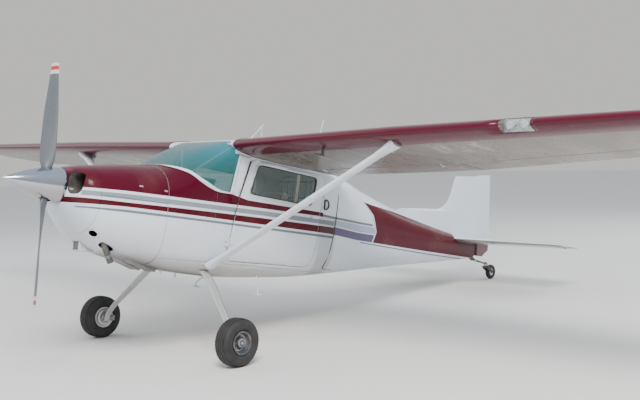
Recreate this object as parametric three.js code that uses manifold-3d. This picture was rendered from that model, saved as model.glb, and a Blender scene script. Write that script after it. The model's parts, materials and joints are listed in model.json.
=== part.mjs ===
// A high-wing light aircraft with a tailwheel, parked on its gear, in millimetres.
//
// The shapes are laid out level, in the aircraft's own stations: s runs aft from the firewall,
// y to port and z up from the propeller's axis. The level model is then tipped nose up onto its
// three wheels, with +X towards the nose, +Y to port and +Z up, and its origin under its middle.
import * as THREE from 'three';
import { mergeVertices } from 'three/addons/utils/BufferGeometryUtils.js';
import Module from 'manifold-3d';

const wasm = await Module();
wasm.setup();

// Whole aircraft
const PITCH = 10.15;            // nose-up angle on the ground, degrees
const GAP = 0.3;                // gap between pieces that touch
const CLEAR = 6;                // clearance round a piece that moves
const WALL = 45;                // cabin wall and door
const COWL_WALL = 18;
const GLASS = 8;
const RING = 28;                // points round a body section

// Fuselage stations and levels
const NOSE = -885;
const BOWL_REAR = -700;
const FIREWALL = 8;
const FORWARD_END = 600;
const CABIN_END = 2440;
const TAIL_END = 6075;
const FLOOR = -590;
const ROOF = 560;
const SEAT_OFFSET = 250;
const COWL_SPLIT = -62;         // level of the joint between the upper and lower cowling

// Body sections: station, half width, top, bottom, level of the greatest width, and how square
// the upper and lower halves are (2 is an ellipse)
const BODY = [
  [NOSE, 215, 152, -190, -10, 2.3, 2.2],
  [-850, 330, 174, -245, -20, 2.4, 2.2],
  [-790, 405, 197, -335, -40, 2.5, 2.2],
  [BOWL_REAR, 445, 218, -440, -60, 2.6, 2.3],
  [-560, 478, 243, -545, -80, 2.7, 2.4],
  [-340, 508, 280, -612, -100, 2.8, 2.8],
  [0, 531, 325, -672, -100, 2.9, 3.4],
  [110, 533, 345, -690, -90, 3.0, 3.6],
  [300, 533, 455, -708, -80, 3.6, 4.0],
  [500, 533, 572, -722, -60, 4.6, 4.3],
  [700, 533, 662, -733, -40, 7, 4.5],
  [785, 533, 695, -736, -30, 11, 4.5],
  [1000, 533, 740, -734, -20, 13, 4.5],
  [1400, 533, 733, -714, 0, 13, 4.5],
  [1900, 530, 665, -682, 0, 13, 4.4],
  [2360, 515, 592, -634, 0, 10, 4.0],
  [3082, 424, 480, -548, -20, 4.2, 3.2],
  [3900, 322, 345, -444, -30, 2.9, 2.6],
  [5281, 150, 160, -272, -30, 2.4, 2.3],
  [TAIL_END, 46, 96, -165, -20, 2.4, 2.3],
];

// Windscreen outline from the side: station, level
const WINDSCREEN = [[112, 345], [260, 300], [370, 240], [560, 165], [640, 140], [785, 134],
  [785, 900], [112, 900]];

// Door outline and its window from the side
const DOOR = [[822, -520], [880, -553], [2010, -540], [2075, -500], [2114, -412], [2136, -126],
  [2142, 93], [2187, 418], [2168, 494], [2103, 522], [1074, 541], [1013, 520], [894, 109],
  [812, -449]];
const DOOR_WINDOW = [[1035, 185], [1060, 166], [1960, 150], [1995, 180], [2040, 440],
  [2015, 478], [1150, 492], [1115, 470]];
const DOOR_HINGE = { s: 790, y: 547, levels: [70, -370] };

// Wing: span station, leading edge station, chord, twist
const WING = [
  [534, 729, 1626, 3.6],
  [2540, 729, 1626, 3.6],
  [5330, 842, 1150, 3.2],
  [5430, 905, 1000, 3.2],
  [5486, 1010, 760, 3.2],
];
const WING_ROOT_LEVEL = 652;
const DIHEDRAL = 1.5;
const CAMBER = 0.02;
const THICKNESS = 0.12;
const HINGE_FRACTION = 0.74;
const FLAP = [600, 2500];
const AILERON = [2560, 5240];

// Wing strut, from the body to the wing
const STRUT_FOOT = [642, 500, -610];
const STRUT_TOP = [915, 2500, 612];
const STRUT_CHORD = 112;
const STRUT_DEPTH = 48;

// Cowl flaps: their width, hinge and rear edge as station and level, and their side lips
const COWL_FLAP = { y: [40, 220], front: [-150, -630], rear: [160, -728], lip: 46, ceiling: -625 };

// Cooling inlets beside the spinner: the port one's middle, and its half sizes
const INLET = { y: 250, z: 30, half: 100, high: 102, square: 2.8 };

// Carburettor intake under the nose, and the landing light in the port wing's leading edge
const CHIN_INTAKE = {
  y: 62, wall: 12, lip: [-636, -584],
  outline: [[-636, -594], [-560, -600], [-470, -590], [-440, -560], [-440, -480], [-636, -450]],
};
const LANDING_LIGHT = { y: [3660, 3940], depth: 100, lens: 5 };

// Exhaust pipe's centre line, and the slot and the round hole in the lower cowling
const EXHAUST = [[-500, 268, -222.3], [-500, 268, -500], [-392, 268, -676]];
const EXHAUST_SLOT = { s: [-560, -400], y: [212, 322] };
const COWL_HOLE = { from: [-690, 365, -500], to: [-620, 250, -370], radius: 42 };

// Tail surfaces
const STABILIZER_LEVEL = 74;
const STABILIZER = { root: [60, 5440, 1010], tip: [1620, 5585, 700], hinge: 6110 };
const ELEVATOR_INNER = 62;
const FIN_LEADING = [
  [60, 4060], [300, 4120], [371, 4247], [430, 4800], [463, 5122], [500, 5220], [587, 5323],
  [746, 5408], [970, 5478], [985, 5500]];
const FIN_TOP = [[5500, 985], [6060, 1062]];
const RUDDER_AXIS = [[6176, -110], [6082, 1120]];
const RUDDER_OUTLINE = [[6082, 1080], [6388, 1133], [6398, 1125], [6494, 171], [6498, -20],
  [6330, -128], [6180, -120]];

// Landing gear
const AXLE = { s: 500, z: -1308, y: 1158 };
const TYRE = { radius: 234, width: 184, rim: 104 };
const TAILWHEEL = { radius: 110, width: 62, rim: 52 };
const WHEEL_SIDES = { main: 24, tail: 20 };

// Propeller and spinner
const PROP_STATION = -1026;
const PROP_RADIUS = 1146;
const PROP_ROLL = 3.45;
const SPINNER = { tip: -1448, base: -893, radius: 166, wall: 5 };

const rad = THREE.MathUtils.degToRad;

// Station, y and z to the level model's own axes
const at = (s, y, z) => new THREE.Vector3(-s, y, z);

// Height of an axle over the ground when its tyre stands on a flat facet
const standing = (size, sides) => size.radius * Math.cos(Math.PI / sides);

// The tail axle's level lets both tyres stand on the same ground
const TAIL_AXLE_STATION = 6622;
const TAIL_AXLE = {
  s: TAIL_AXLE_STATION,
  z: AXLE.z + (TAIL_AXLE_STATION - AXLE.s) * Math.tan(rad(PITCH))
    + (standing(TAILWHEEL, WHEEL_SIDES.tail) - standing(TYRE, WHEEL_SIDES.main)) / Math.cos(rad(PITCH)),
};

// Turning geometries into solids and back

function solid(geometry) {
  const bare = geometry.clone();
  bare.deleteAttribute('normal');
  bare.deleteAttribute('uv');
  const merged = mergeVertices(bare, 1e-3);
  return new wasm.Manifold(new wasm.Mesh({
    numProp: 3,
    vertProperties: new Float32Array(merged.attributes.position.array),
    triVerts: new Uint32Array(merged.index.array),
  }));
}

function geometryOf(body) {
  const mesh = body.getMesh();
  const geometry = new THREE.BufferGeometry();
  const count = mesh.numProp;
  const positions = new Float32Array(mesh.vertProperties.length / count * 3);
  for (let i = 0; i < positions.length / 3; i++) {
    for (let k = 0; k < 3; k++) positions[3 * i + k] = mesh.vertProperties[count * i + k];
  }
  geometry.setAttribute('position', new THREE.BufferAttribute(positions, 3));
  geometry.setIndex(new THREE.BufferAttribute(new Uint32Array(mesh.triVerts), 1));
  geometry.computeVertexNormals();
  return geometry;
}

const join = (...bodies) => bodies.reduce((a, b) => a.add(b));

// A closed skin over rings of points, with flat ends
function loft(rings) {
  const count = rings[0].length;
  const points = rings.flat();
  const faces = [];
  for (let r = 0; r + 1 < rings.length; r++) {
    for (let i = 0; i < count; i++) {
      const a = r * count + i;
      const b = r * count + (i + 1) % count;
      faces.push([a, b, b + count], [a, b + count, a + count]);
    }
  }
  const last = (rings.length - 1) * count;
  for (const [i, j, k] of flatFaces(rings[0])) faces.push([i, k, j]);
  for (const [i, j, k] of flatFaces(rings[rings.length - 1])) {
    faces.push([last + i, last + j, last + k]);
  }
  let volume = 0;
  const cross = new THREE.Vector3();
  for (const [i, j, k] of faces) {
    volume += cross.crossVectors(points[j], points[k]).dot(points[i]);
  }
  const geometry = new THREE.BufferGeometry();
  geometry.setAttribute('position', new THREE.Float32BufferAttribute(
    points.flatMap((p) => [p.x, p.y, p.z]), 3));
  geometry.setIndex(faces.flatMap(([i, j, k]) => (volume > 0 ? [i, j, k] : [i, k, j])));
  return solid(geometry);
}

// Triangles over one ring, turned the way the ring runs
function flatFaces(ring) {
  const normal = new THREE.Vector3();
  ring.forEach((p, i) => normal.add(new THREE.Vector3().crossVectors(p, ring[(i + 1) % ring.length])));
  const size = normal.toArray().map(Math.abs);
  const drop = size.indexOf(Math.max(...size));
  const [u, v] = [(drop + 1) % 3, (drop + 2) % 3];
  const flat = ring.map((p) => new THREE.Vector2(p.getComponent(u), p.getComponent(v)));
  const faces = THREE.ShapeUtils.triangulateShape(flat, []);
  const turned = Math.sign(normal.getComponent(drop));
  const area = (f) => {
    const [a, b, c] = f.map((i) => flat[i]);
    return (b.x - a.x) * (c.y - a.y) - (b.y - a.y) * (c.x - a.x);
  };
  return faces.map((f) => (area(f) * turned > 0 ? f : [f[0], f[2], f[1]]));
}

// An outline of [station, level] pairs, carried across the aircraft
function slab(outline, y0, y1) {
  return loft([y0, y1].map((y) => outline.map(([s, z]) => at(s, y, z))));
}

function block(s0, s1, y0, y1, z0, z1) {
  return slab([[s0, z0], [s1, z0], [s1, z1], [s0, z1]], y0, y1);
}

// A straight round bar between two points, with a radius at each end
function rod(p, q, r0, r1 = r0, sides = 12) {
  const along = new THREE.Vector3().subVectors(q, p);
  const geometry = new THREE.CylinderGeometry(r1, r0, along.length(), sides);
  geometry.applyQuaternion(new THREE.Quaternion().setFromUnitVectors(
    new THREE.Vector3(0, 1, 0), along.clone().normalize()));
  geometry.translate(...p.clone().add(q).multiplyScalar(0.5).toArray());
  return solid(geometry);
}

// A round hole whose flat sides all keep at least the radius asked for
function bore(p, q, r0, r1 = r0, sides = 12) {
  const outer = 1 / Math.cos(Math.PI / sides);
  return rod(p, q, r0 * outer, r1 * outer, sides);
}

// A solid of revolution about the y axis through a point, from [radius, offset] pairs
function turned(profile, centre, sides = 36) {
  const geometry = new THREE.LatheGeometry(
    [...profile, profile[0]].map(([r, h]) => new THREE.Vector2(r, h)), sides);
  geometry.rotateY(groundTurn(sides));
  geometry.translate(...centre.toArray());
  const body = solid(geometry);
  return body.volume() > 0 ? body : solid(flipped(geometry));
}

// The turn that lays one flat facet of a wheel on the ground
function groundTurn(sides) {
  const facet = 360 / sides;
  const down = 180 + PITCH;
  return rad(down - (Math.round(down / facet - 0.5) + 0.5) * facet);
}

function flipped(geometry) {
  const copy = geometry.clone();
  const index = copy.index.array;
  for (let i = 0; i < index.length; i += 3) {
    [index[i + 1], index[i + 2]] = [index[i + 2], index[i + 1]];
  }
  return copy;
}

// Moves the sides of an outline outwards by a distance
function grown(outline, distance) {
  const turn = Math.sign(THREE.ShapeUtils.area(outline.map(([x, y]) => new THREE.Vector2(x, y))));
  return outline.map((p, i) => {
    const before = outline[(i + outline.length - 1) % outline.length];
    const after = outline[(i + 1) % outline.length];
    const unit = (a, b) => {
      const length = Math.hypot(b[0] - a[0], b[1] - a[1]);
      return [turn * (b[1] - a[1]) / length, -turn * (b[0] - a[0]) / length];
    };
    const n1 = unit(before, p);
    const n2 = unit(p, after);
    const scale = distance / (1 + n1[0] * n2[0] + n1[1] * n2[1]);
    return [p[0] + (n1[0] + n2[0]) * scale, p[1] + (n1[1] + n2[1]) * scale];
  });
}

function mirrored(body) {
  return body.mirror([0, 1, 0]);
}

// The fuselage's outer form

function bodyRow(s) {
  let i = 0;
  while (i < BODY.length - 2 && BODY[i + 1][0] < s) i++;
  const [low, high] = [BODY[i], BODY[i + 1]];
  const t = (s - low[0]) / (high[0] - low[0]);
  return low.map((value, k) => value + (high[k] - value) * t);
}

function bodyRing(s, outset = 0) {
  const [, half, top, bottom, middle, above, below] = bodyRow(s);
  return Array.from({ length: RING }, (_, i) => {
    const angle = 2 * Math.PI * (i + 0.5) / RING;
    const [c, d] = [Math.cos(angle), Math.sin(angle)];
    const power = 2 / (d > 0 ? above : below);
    const reach = (d > 0 ? top - middle : middle - bottom) + outset;
    return at(s, (half + outset) * Math.sign(c) * Math.abs(c) ** power,
      middle + reach * Math.sign(d) * Math.abs(d) ** power);
  });
}

function fuselage(from, to, outset = 0) {
  const stations = [from, ...BODY.map((row) => row[0]).filter((s) => s > from + 1 && s < to - 1), to];
  return loft(stations.map((s) => bodyRing(s, outset)));
}

const CLEAR_OF_BODY = fuselage(NOSE, TAIL_END + 0.6, 0.6);

// Wing section, as [chord fraction, height over chord] pairs from the trailing edge round

const SECTION_STEPS = [1, 0.87, HINGE_FRACTION, 0.6, 0.45, 0.3, 0.17, 0.08, 0.03, 0.006];

function camberLine(x) {
  const peak = 0.4;
  if (x < peak) return CAMBER / peak ** 2 * (2 * peak * x - x * x);
  return CAMBER / (1 - peak) ** 2 * (1 - 2 * peak + 2 * peak * x - x * x);
}

function halfThickness(x) {
  return 5 * THICKNESS * (0.2969 * Math.sqrt(x) - 0.126 * x - 0.3516 * x ** 2
    + 0.2843 * x ** 3 - 0.1015 * x ** 4);
}

function wingRow(y) {
  let i = 0;
  while (i < WING.length - 2 && WING[i + 1][0] < y) i++;
  const [low, high] = [WING[i], WING[i + 1]];
  const t = (y - low[0]) / (high[0] - low[0]);
  return low.map((value, k) => value + (high[k] - value) * t);
}

// A point of the wing at a span station: chord fraction, and height over chord from the chord line
function wingPoint(y, x, h) {
  const [, leading, chord, twist] = wingRow(y);
  const level = WING_ROOT_LEVEL + (y - WING[0][0]) * Math.tan(rad(DIHEDRAL));
  const [c, d] = [Math.cos(rad(twist)), Math.sin(rad(twist))];
  return at(leading + chord * (x * c + h * d), y, level + chord * (h * c - x * d));
}

// The section at a span station, or one set inwards by a distance
function wingRing(y, inset = 0) {
  const tip = y > 5450 ? 0.45 : 1;
  const sink = inset / wingRow(y)[2];
  const half = (x) => Math.max(tip * halfThickness(x) - sink, 0.0004);
  const upper = SECTION_STEPS.map((x) => wingPoint(y, x + sink, camberLine(x) + half(x)));
  const nose = wingPoint(y, sink, 0);
  const lower = SECTION_STEPS.slice().reverse().map((x) => wingPoint(y, x + sink, camberLine(x) - half(x)));
  return [...upper, nose, ...lower];
}

// Hinges of the control surfaces: a lug of the fixed part reaches into a slot of the moving
// part, round a pin on the axis

function hingeAlong(p, q, forward, places, size) {
  const u = new THREE.Vector3().subVectors(q, p).normalize();
  const f = forward.clone().addScaledVector(u, -forward.dot(u)).normalize();
  const n = new THREE.Vector3().crossVectors(u, f);
  const bar = (centre, along, back, front, half) => loft([-along, along].map((a) => [
    [back, -half], [front, -half], [front, half], [back, half]].map(([b, c]) => centre.clone()
    .addScaledVector(u, a).addScaledVector(f, b).addScaledVector(n, c))));
  const centres = places.map((t) => p.clone().lerp(q, t));
  const pinFor = (centre, half, r) => rod(centre.clone().addScaledVector(u, -half),
    centre.clone().addScaledVector(u, half), r, r, 8);
  return {
    fixed: (body, reach) => centres.reduce((b, c) => b.add(
      bar(c, 0.4 * size, -1.2 * size, reach, 1.1 * size).subtract(pinFor(c, size, 0.7 * size))), body),
    moving: (body, nose) => centres.reduce((b, c) => b.subtract(
      bar(c, 0.95 * size, -2.2 * size, nose, 6 * size)).add(pinFor(c, 1.2 * size, 0.6 * size)), body),
  };
}

// Wings, flaps and ailerons (port side, then mirrored)

function wingAssembly() {
  let wing = loft(WING.map(([y]) => wingRing(y)));
  const whole = wing;
  const parts = {};
  for (const [name, [y0, y1], places] of [['flap', FLAP, [0.12, 0.5, 0.88]],
    ['aileron', AILERON, [0.08, 0.5, 0.92]]]) {
    const pin = (y) => wingPoint(y, HINGE_FRACTION, camberLine(HINGE_FRACTION));
    const radius = (y) => wingRow(y)[2] * halfThickness(HINGE_FRACTION) - 0.6;
    const [p, q] = [pin(y0), pin(y1)];
    const back = (y, offset) => {
      const hinge = pin(y);
      return [[offset, -300], [offset + 900, -300], [offset + 900, 300], [offset, 300]]
        .map(([ds, dz]) => at(-hinge.x + ds, y, hinge.z + dz));
    };
    const rear = loft([back(y0, 0), back(y1, 0)]);
    const nose = rod(p, q, radius(y0), radius(y1));
    const hinge = hingeAlong(p, q, new THREE.Vector3(1, 0, 0), places, 10);
    const surface = whole.intersect(rear).add(nose);
    parts[name] = hinge.moving(surface, radius(y0) + 8);
    const [p5, q5] = [pin(y0 - CLEAR), pin(y1 + CLEAR)];
    const bay = loft([back(y0 - CLEAR, 0), back(y1 + CLEAR, 0)])
      .add(bore(p5, q5, radius(y0) + CLEAR, radius(y1) + CLEAR));
    wing = hinge.fixed(wing.subtract(bay), radius(y0) + CLEAR + 25);
  }
  return { wing, ...parts };
}

// A clear lens that follows the leading edge, over an empty bay in the wing
function landingLight() {
  const { y: [y0, y1], depth, lens } = LANDING_LIGHT;
  const leading = wingRow((y0 + y1) / 2)[1];
  const span = (inset) => loft([2540, 5330].map((y) => wingRing(y, inset)));
  const box = (grow) => block(leading - 60, leading + depth + grow, y0 - grow, y1 + grow, 500, 1000);
  return { bay: box(GAP), lens: span(0).intersect(box(0)).subtract(span(lens)) };
}

// Tail surfaces

// A thin streamlined section between two stations at one span place
function tailRing(y, leading, chord, level, thickness) {
  const steps = [1, 0.66, 0.35, 0.14, 0.04];
  const half = (x) => 5 * thickness * chord * (0.2969 * Math.sqrt(x) - 0.126 * x
    - 0.3516 * x ** 2 + 0.2843 * x ** 3 - 0.1 * x ** 4);
  return [...steps.map((x) => at(leading + chord * x, y, level + half(x))),
    at(leading, y, level),
    ...steps.slice().reverse().map((x) => at(leading + chord * x, y, level - half(x)))];
}

function stabilizerAssembly() {
  const { root, tip, hinge } = STABILIZER;
  const level = STABILIZER_LEVEL;
  const half = loft([tailRing(0.3, root[1] - 6, root[2], level, 0.085), tailRing(root[0], root[1],
    root[2], level, 0.085), tailRing(tip[0] - 60, tip[1], tip[2], level, 0.085),
  tailRing(tip[0], tip[1] + 50, tip[2] - 100, level, 0.04)]);
  const [p, q] = [at(hinge, ELEVATOR_INNER, level), at(hinge, tip[0] - 120, level)];
  const radius = (y) => 30 - 10 * y / tip[0];
  const pins = hingeAlong(p, q, new THREE.Vector3(1, 0, 0), [0.12, 0.55, 0.93], 7);
  const outer = tip[0] + 10;
  const rearOf = (s, y0, y1) => slabTop([[s, y0], [6700, y0 + (6700 - hinge) * 0.5],
    [6700, y1], [s, y1]], level - 120, level + 120);
  const horn = slabTop([[hinge - 190, tip[0] - 100], [hinge + 1, tip[0] - 100], [hinge + 1, outer],
    [hinge - 190, outer]], level - 120, level + 120);
  const nose = rod(p, q, radius(p.y), radius(q.y));
  const elevator = pins.moving(half.intersect(rearOf(hinge, ELEVATOR_INNER, outer).add(horn)).add(nose),
    40);
  const bay = rearOf(hinge, -1, outer).add(slabTop([[hinge, -1], [6700, -1], [6700, outer],
    [hinge, outer]], level - 120, level + 120)).add(slabTop([[hinge - 190 - CLEAR, tip[0] - 100 - CLEAR],
    [hinge + 1, tip[0] - 100 - CLEAR], [hinge + 1, outer], [hinge - 190 - CLEAR, outer]],
  level - 120, level + 120))
    .add(bore(at(hinge, -1, level), at(hinge, tip[0] - 100, level), radius(0) + CLEAR,
      radius(tip[0]) + CLEAR));
  const fixedHalf = pins.fixed(half.subtract(bay), 70);
  const tube = rod(at(hinge, -ELEVATOR_INNER - 20, level), at(hinge, ELEVATOR_INNER + 20, level), 12);
  const middle = slabTop([[root[1] - 6, -0.5], [root[1] - 6, 0.5], [hinge - 60, 0.5],
    [hinge - 60, -0.5]], level - 8, level + 8);
  return {
    stabilizer: join(fixedHalf, mirrored(fixedHalf), middle),
    whole: join(half, mirrored(half), middle),
    elevators: join(elevator, mirrored(elevator), tube),
  };
}

// An outline of [station, y] pairs between two levels
function slabTop(outline, z0, z1) {
  return loft([z0, z1].map((z) => outline.map(([s, y]) => at(s, y, z))));
}

// The fin's or rudder's half thickness at a station
function finHalf(s, leading, level) {
  const grow = THREE.MathUtils.clamp((s - leading) / 420, 0, 1);
  const limit = 34 - 12 * THREE.MathUtils.clamp((level - 100) / 1000, 0, 1);
  const slow = THREE.MathUtils.clamp((s - 4060) / 1400, 0.12, 1);
  return Math.max(3, limit * slow * Math.sqrt(grow));
}

const axisAt = (z) => RUDDER_AXIS[0][0] + (RUDDER_AXIS[1][0] - RUDDER_AXIS[0][0])
  * (z - RUDDER_AXIS[0][1]) / (RUDDER_AXIS[1][1] - RUDDER_AXIS[0][1]);
const rudderNose = (z) => 26 - 8 * THREE.MathUtils.clamp((z + 110) / 1230, 0, 1);

function finAssembly() {
  const steps = [0, 0.02, 0.08, 0.3, 0.65, 1];
  const ringAt = ([z, leading], top) => {
    const rear = axisAt(z) - rudderNose(z) - CLEAR;
    const place = (t) => leading + (rear - leading) * t;
    const level = (s) => (top ? FIN_TOP[0][1] + (s - FIN_TOP[0][0])
      * (FIN_TOP[1][1] - FIN_TOP[0][1]) / (FIN_TOP[1][0] - FIN_TOP[0][0]) : z);
    return [...steps.map((t) => at(place(t), finHalf(place(t), leading, z), level(place(t)))),
      ...steps.slice().reverse().map((t) => at(place(t), -finHalf(place(t), leading, z), level(place(t))))];
  };
  const rings = FIN_LEADING.map((row, i) => ringAt(row, i === FIN_LEADING.length - 1));
  const [p, q] = [at(axisAt(170), 0, 170), at(axisAt(1040), 0, 1040)];
  const pins = hingeAlong(p, q, new THREE.Vector3(1, 0, 0), [0.05, 0.5, 0.95], 7);
  const fin = pins.fixed(loft(rings), 60).subtract(CLEAR_OF_BODY);
  const outline = slab(RUDDER_OUTLINE, -80, 80);
  const blade = loft([-140, 400, 1140].map((z) => {
    const [a, h] = [axisAt(z), rudderNose(z)];
    return [[a, h - 0.5], [a, 0.5 - h], [6520, -5], [6520, 5]].map(([s, y]) => at(s, y, z));
  }));
  const [a, b] = [RUDDER_AXIS[0], [axisAt(1085), 1085]];
  const nose = rod(at(a[0], 0, a[1]), at(b[0], 0, b[1]), rudderNose(a[1]), rudderNose(b[1]));
  const rudder = pins.moving(blade.intersect(outline).add(nose), 40);
  return { fin, rudder };
}

// Fuselage shells

function insideOf(outline) {
  return slab(outline, -700, 700);
}

const bowlInside = fuselage(-880, BOWL_REAR + 1, -COWL_WALL);

function noseBowl() {
  const { y, z, half, high, square } = INLET;
  const ring = (s, side, grow) => Array.from({ length: 16 }, (_, i) => {
    const angle = 2 * Math.PI * (i + 0.5) / 16;
    const [c, d] = [Math.cos(angle), Math.sin(angle)];
    return at(s, side * (y + (half + grow) * Math.sign(c) * Math.abs(c) ** (2 / square)),
      z + (high + grow) * Math.sign(d) * Math.abs(d) ** (2 / square));
  });
  const inlet = (side) => loft([ring(-1000, side, 10), ring(-760, side, -6)]);
  return fuselage(NOSE, BOWL_REAR, 0).subtract(bowlInside)
    .subtract(rod(at(-1000, 0, 0), at(-700, 0, 0), 120, 120, 24))
    .subtract(inlet(1)).subtract(inlet(-1));
}

// A box scoop whose mouth faces forward, closed above by the cowling
function chinIntake() {
  const { y, wall, lip, outline } = CHIN_INTAKE;
  const mouth = block(lip[0] - 10, -500, wall - y, y - wall, lip[1], 0);
  return slab(outline, -y, y).subtract(mouth).subtract(CLEAR_OF_BODY);
}

function cowling() {
  const shell = fuselage(BOWL_REAR + GAP, -GAP, 0)
    .subtract(fuselage(BOWL_REAR - 1, 1, -COWL_WALL));
  const upper = shell.intersect(block(-900, 10, -700, 700, COWL_SPLIT + GAP / 2, 900));
  let lower = shell.intersect(block(-900, 10, -700, 700, -900, COWL_SPLIT - GAP / 2));
  for (const side of [1, -1]) lower = lower.subtract(cowlFlapBay(side));
  const { from, to, radius } = COWL_HOLE;
  lower = lower.subtract(block(...EXHAUST_SLOT.s, ...EXHAUST_SLOT.y, -900, -430))
    .subtract(rod(at(...from), at(...to), radius, radius, 16));
  const hinge = cowlFlapHinge();
  lower = mirrored(hinge.fixed(mirrored(hinge.fixed(lower, 22)), 22));
  return { upper, lower };
}

// Cowl flaps: hinged at the front edge, hanging a little open

function cowlFlap() {
  const { y, front, rear, lip } = COWL_FLAP;
  const [[s0, z0], [s1, z1]] = [front, rear];
  const plate = [[s0, z0 - 4], [s1, z1 - 4], [s1, z1 + 4], [s0, z0 + 4]];
  const side = [[s0 + 50, z0 + (z1 - z0) * 50 / (s1 - s0)], [s1, z1], [s1 + 14, z1 + lip],
    [s0 + 110, z0 - 10]];
  const body = join(slab(plate, y[0], y[1]), slab(side, y[0], y[0] + 5), slab(side, y[1] - 5, y[1]),
    rod(at(s0, y[0], z0), at(s0, y[1], z0), 7, 7, 12));
  return cowlFlapHinge().moving(body, 12);
}

function cowlFlapHinge() {
  const { y, front: [s, z] } = COWL_FLAP;
  return hingeAlong(at(s, y[0], z), at(s, y[1], z), new THREE.Vector3(1, 0, 0), [0.15, 0.85], 5);
}

// The space that a cowl flap and its lips need
function cowlFlapBay(side) {
  const { y, front, rear } = COWL_FLAP;
  const [y0, y1] = side > 0 ? [y[0] - CLEAR, y[1] + CLEAR] : [-y[1] - CLEAR, CLEAR - y[0]];
  return join(block(front[0] - 14, FIREWALL + 0.5, y0, y1, -900, -560),
    block(FIREWALL, rear[0] + 22, y0, y1, -900, COWL_FLAP.ceiling));
}

// One pipe from the engine's underside, down and back through the cowling
function exhaust() {
  const [top, elbow, mouth] = EXHAUST.map((p) => at(...p));
  return join(rod(top, elbow, 30, 30, 12), rod(elbow, mouth, 30, 32, 12),
    solid(new THREE.SphereGeometry(30, 12, 8).translate(...elbow.toArray())))
    .subtract(rod(mouth.clone().lerp(elbow, 0.5), mouth.clone().lerp(elbow, -0.05), 27, 27, 12));
}

function engine() {
  const crown = [[-742, -150], [-742, 70], [-700, 110], [-110, 110], [-70, 70], [-70, -222], [-700, -222]];
  const mount = (y, z) => rod(at(-80, y, z), at(-GAP, y * 1.25, z), 16, 16, 10);
  return join(slab(crown, -330, 330), slab([[-700, -90], [-700, 80], [-160, 80], [-160, -90]], -385, 385),
    rod(at(-930, 0, 0), at(-740, 0, 0), 62, 62, 24), mount(250, 70), mount(-250, 70),
    mount(250, -180), mount(-250, -180)).subtract(block(-GAP, 60, -500, 500, -500, 500));
}

const cabinInside = fuselage(FIREWALL - 1, 2396, -WALL);

function cabin() {
  const outer = fuselage(FIREWALL + GAP, CABIN_END, 0);
  const shell = outer.subtract(cabinInside);
  const glassHole = insideOf(WINDSCREEN);
  const whole = (s0, s1, z0, z1) => block(s0, s1, -700, 700, z0, z1);
  const forward = shell.intersect(whole(0, FORWARD_END, FLOOR + GAP, 900)).subtract(glassHole);
  const floor = join(outer.intersect(whole(0, CABIN_END + 1, -900, FLOOR)), benchBase(),
    seatFrame(SEAT_OFFSET), seatFrame(-SEAT_OFFSET), step(), mirrored(step()))
    .subtract(cowlFlapBay(1)).subtract(cowlFlapBay(-1));
  const doorHole = insideOf(grown(DOOR, CLEAR));
  const sides = shell.intersect(whole(FORWARD_END + GAP, CABIN_END + 1, FLOOR + GAP, ROOF))
    .subtract(glassHole).subtract(doorHole).subtract(block(2396 - GAP, 2500, -480, 480, -600, 700));
  const left = doorPost(sides.intersect(block(0, 2500, 0, 700, -900, 900)));
  const roof = shell.intersect(whole(FORWARD_END, CABIN_END + 1, ROOF + GAP, 900)).subtract(glassHole)
    .subtract(block(2396 - GAP, 2500, -700, 700, -600, ROOF + 1));
  const bulkhead = outer.intersect(whole(2396, CABIN_END - GAP, FLOOR + GAP, ROOF))
    .intersect(block(0, 2500, -480 + GAP, 480 - GAP, -900, 900));
  return { forward, floor, left, right: mirrored(left), roof, bulkhead };
}

// The tailcone's top is cut away under the stabilizer
function tailcone(aroundTail) {
  const above = block(STABILIZER.root[1] - 12, TAIL_END + 1, -300, 300, STABILIZER_LEVEL, 400);
  return fuselage(CABIN_END + GAP, TAIL_END, 0).subtract(aroundTail).subtract(above);
}

function benchBase() {
  return block(1760, 2200, -430, 430, FLOOR - 5, -400).intersect(fuselage(1700, 2300, -WALL - GAP));
}

function doorPost(side) {
  const { s, y, levels } = DOOR_HINGE;
  let body = side;
  for (const z of levels) {
    for (const offset of [22, -22]) {
      body = body.add(block(s - 10, s + 10, 500, y + 9, z + offset - 5, z + offset + 5));
    }
    body = body.add(rod(at(s, y, z - 26), at(s, y, z + 26), 4, 4, 12));
  }
  return body;
}

function door() {
  const { s, y, levels } = DOOR_HINGE;
  const shell = fuselage(600, 2430, 0).subtract(fuselage(599, 2431, -WALL + 3));
  let body = shell.intersect(slab(DOOR, 0, 700)).subtract(slab(DOOR_WINDOW, 0, 700));
  for (const z of levels) {
    const arm = join(rod(at(s, y, z - 16), at(s, y, z + 16), 9, 9, 16),
      block(s, 960, y - 8, y + 6, z - 16, z + 16), block(905, 960, 500, y, z - 16, z + 16));
    body = body.add(arm).subtract(rod(at(s, y, z - 30), at(s, y, z + 30), 4.5, 4.5, 12));
  }
  const pane = fuselage(600, 2430, -14).subtract(fuselage(599, 2431, -14 - GLASS))
    .intersect(slab(grown(DOOR_WINDOW, -0.4), 0, 700));
  return { body, pane };
}

function windscreen() {
  return fuselage(110, 785, -2).subtract(fuselage(109, 786, -2 - GLASS))
    .intersect(insideOf(grown(WINDSCREEN, -0.4)));
}

function instrumentPanel() {
  const inner = fuselage(20, 700, -WALL - GAP);
  return join(inner.intersect(block(560, 585, -700, 700, 0, 262)),
    inner.intersect(block(150, 585, -700, 700, 250, 262)));
}

function controlWheel(y) {
  const wheel = join(block(700, 716, y - 150, y + 150, 62, 86), block(700, 716, y - 150, y - 126, 62, 190),
    block(700, 716, y + 126, y + 150, 62, 190));
  return join(rod(at(585 + GAP, y, 100), at(705, y, 100), 12, 12, 12), wheel,
    block(700, 716, y - 20, y + 20, 62, 120));
}

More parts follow.
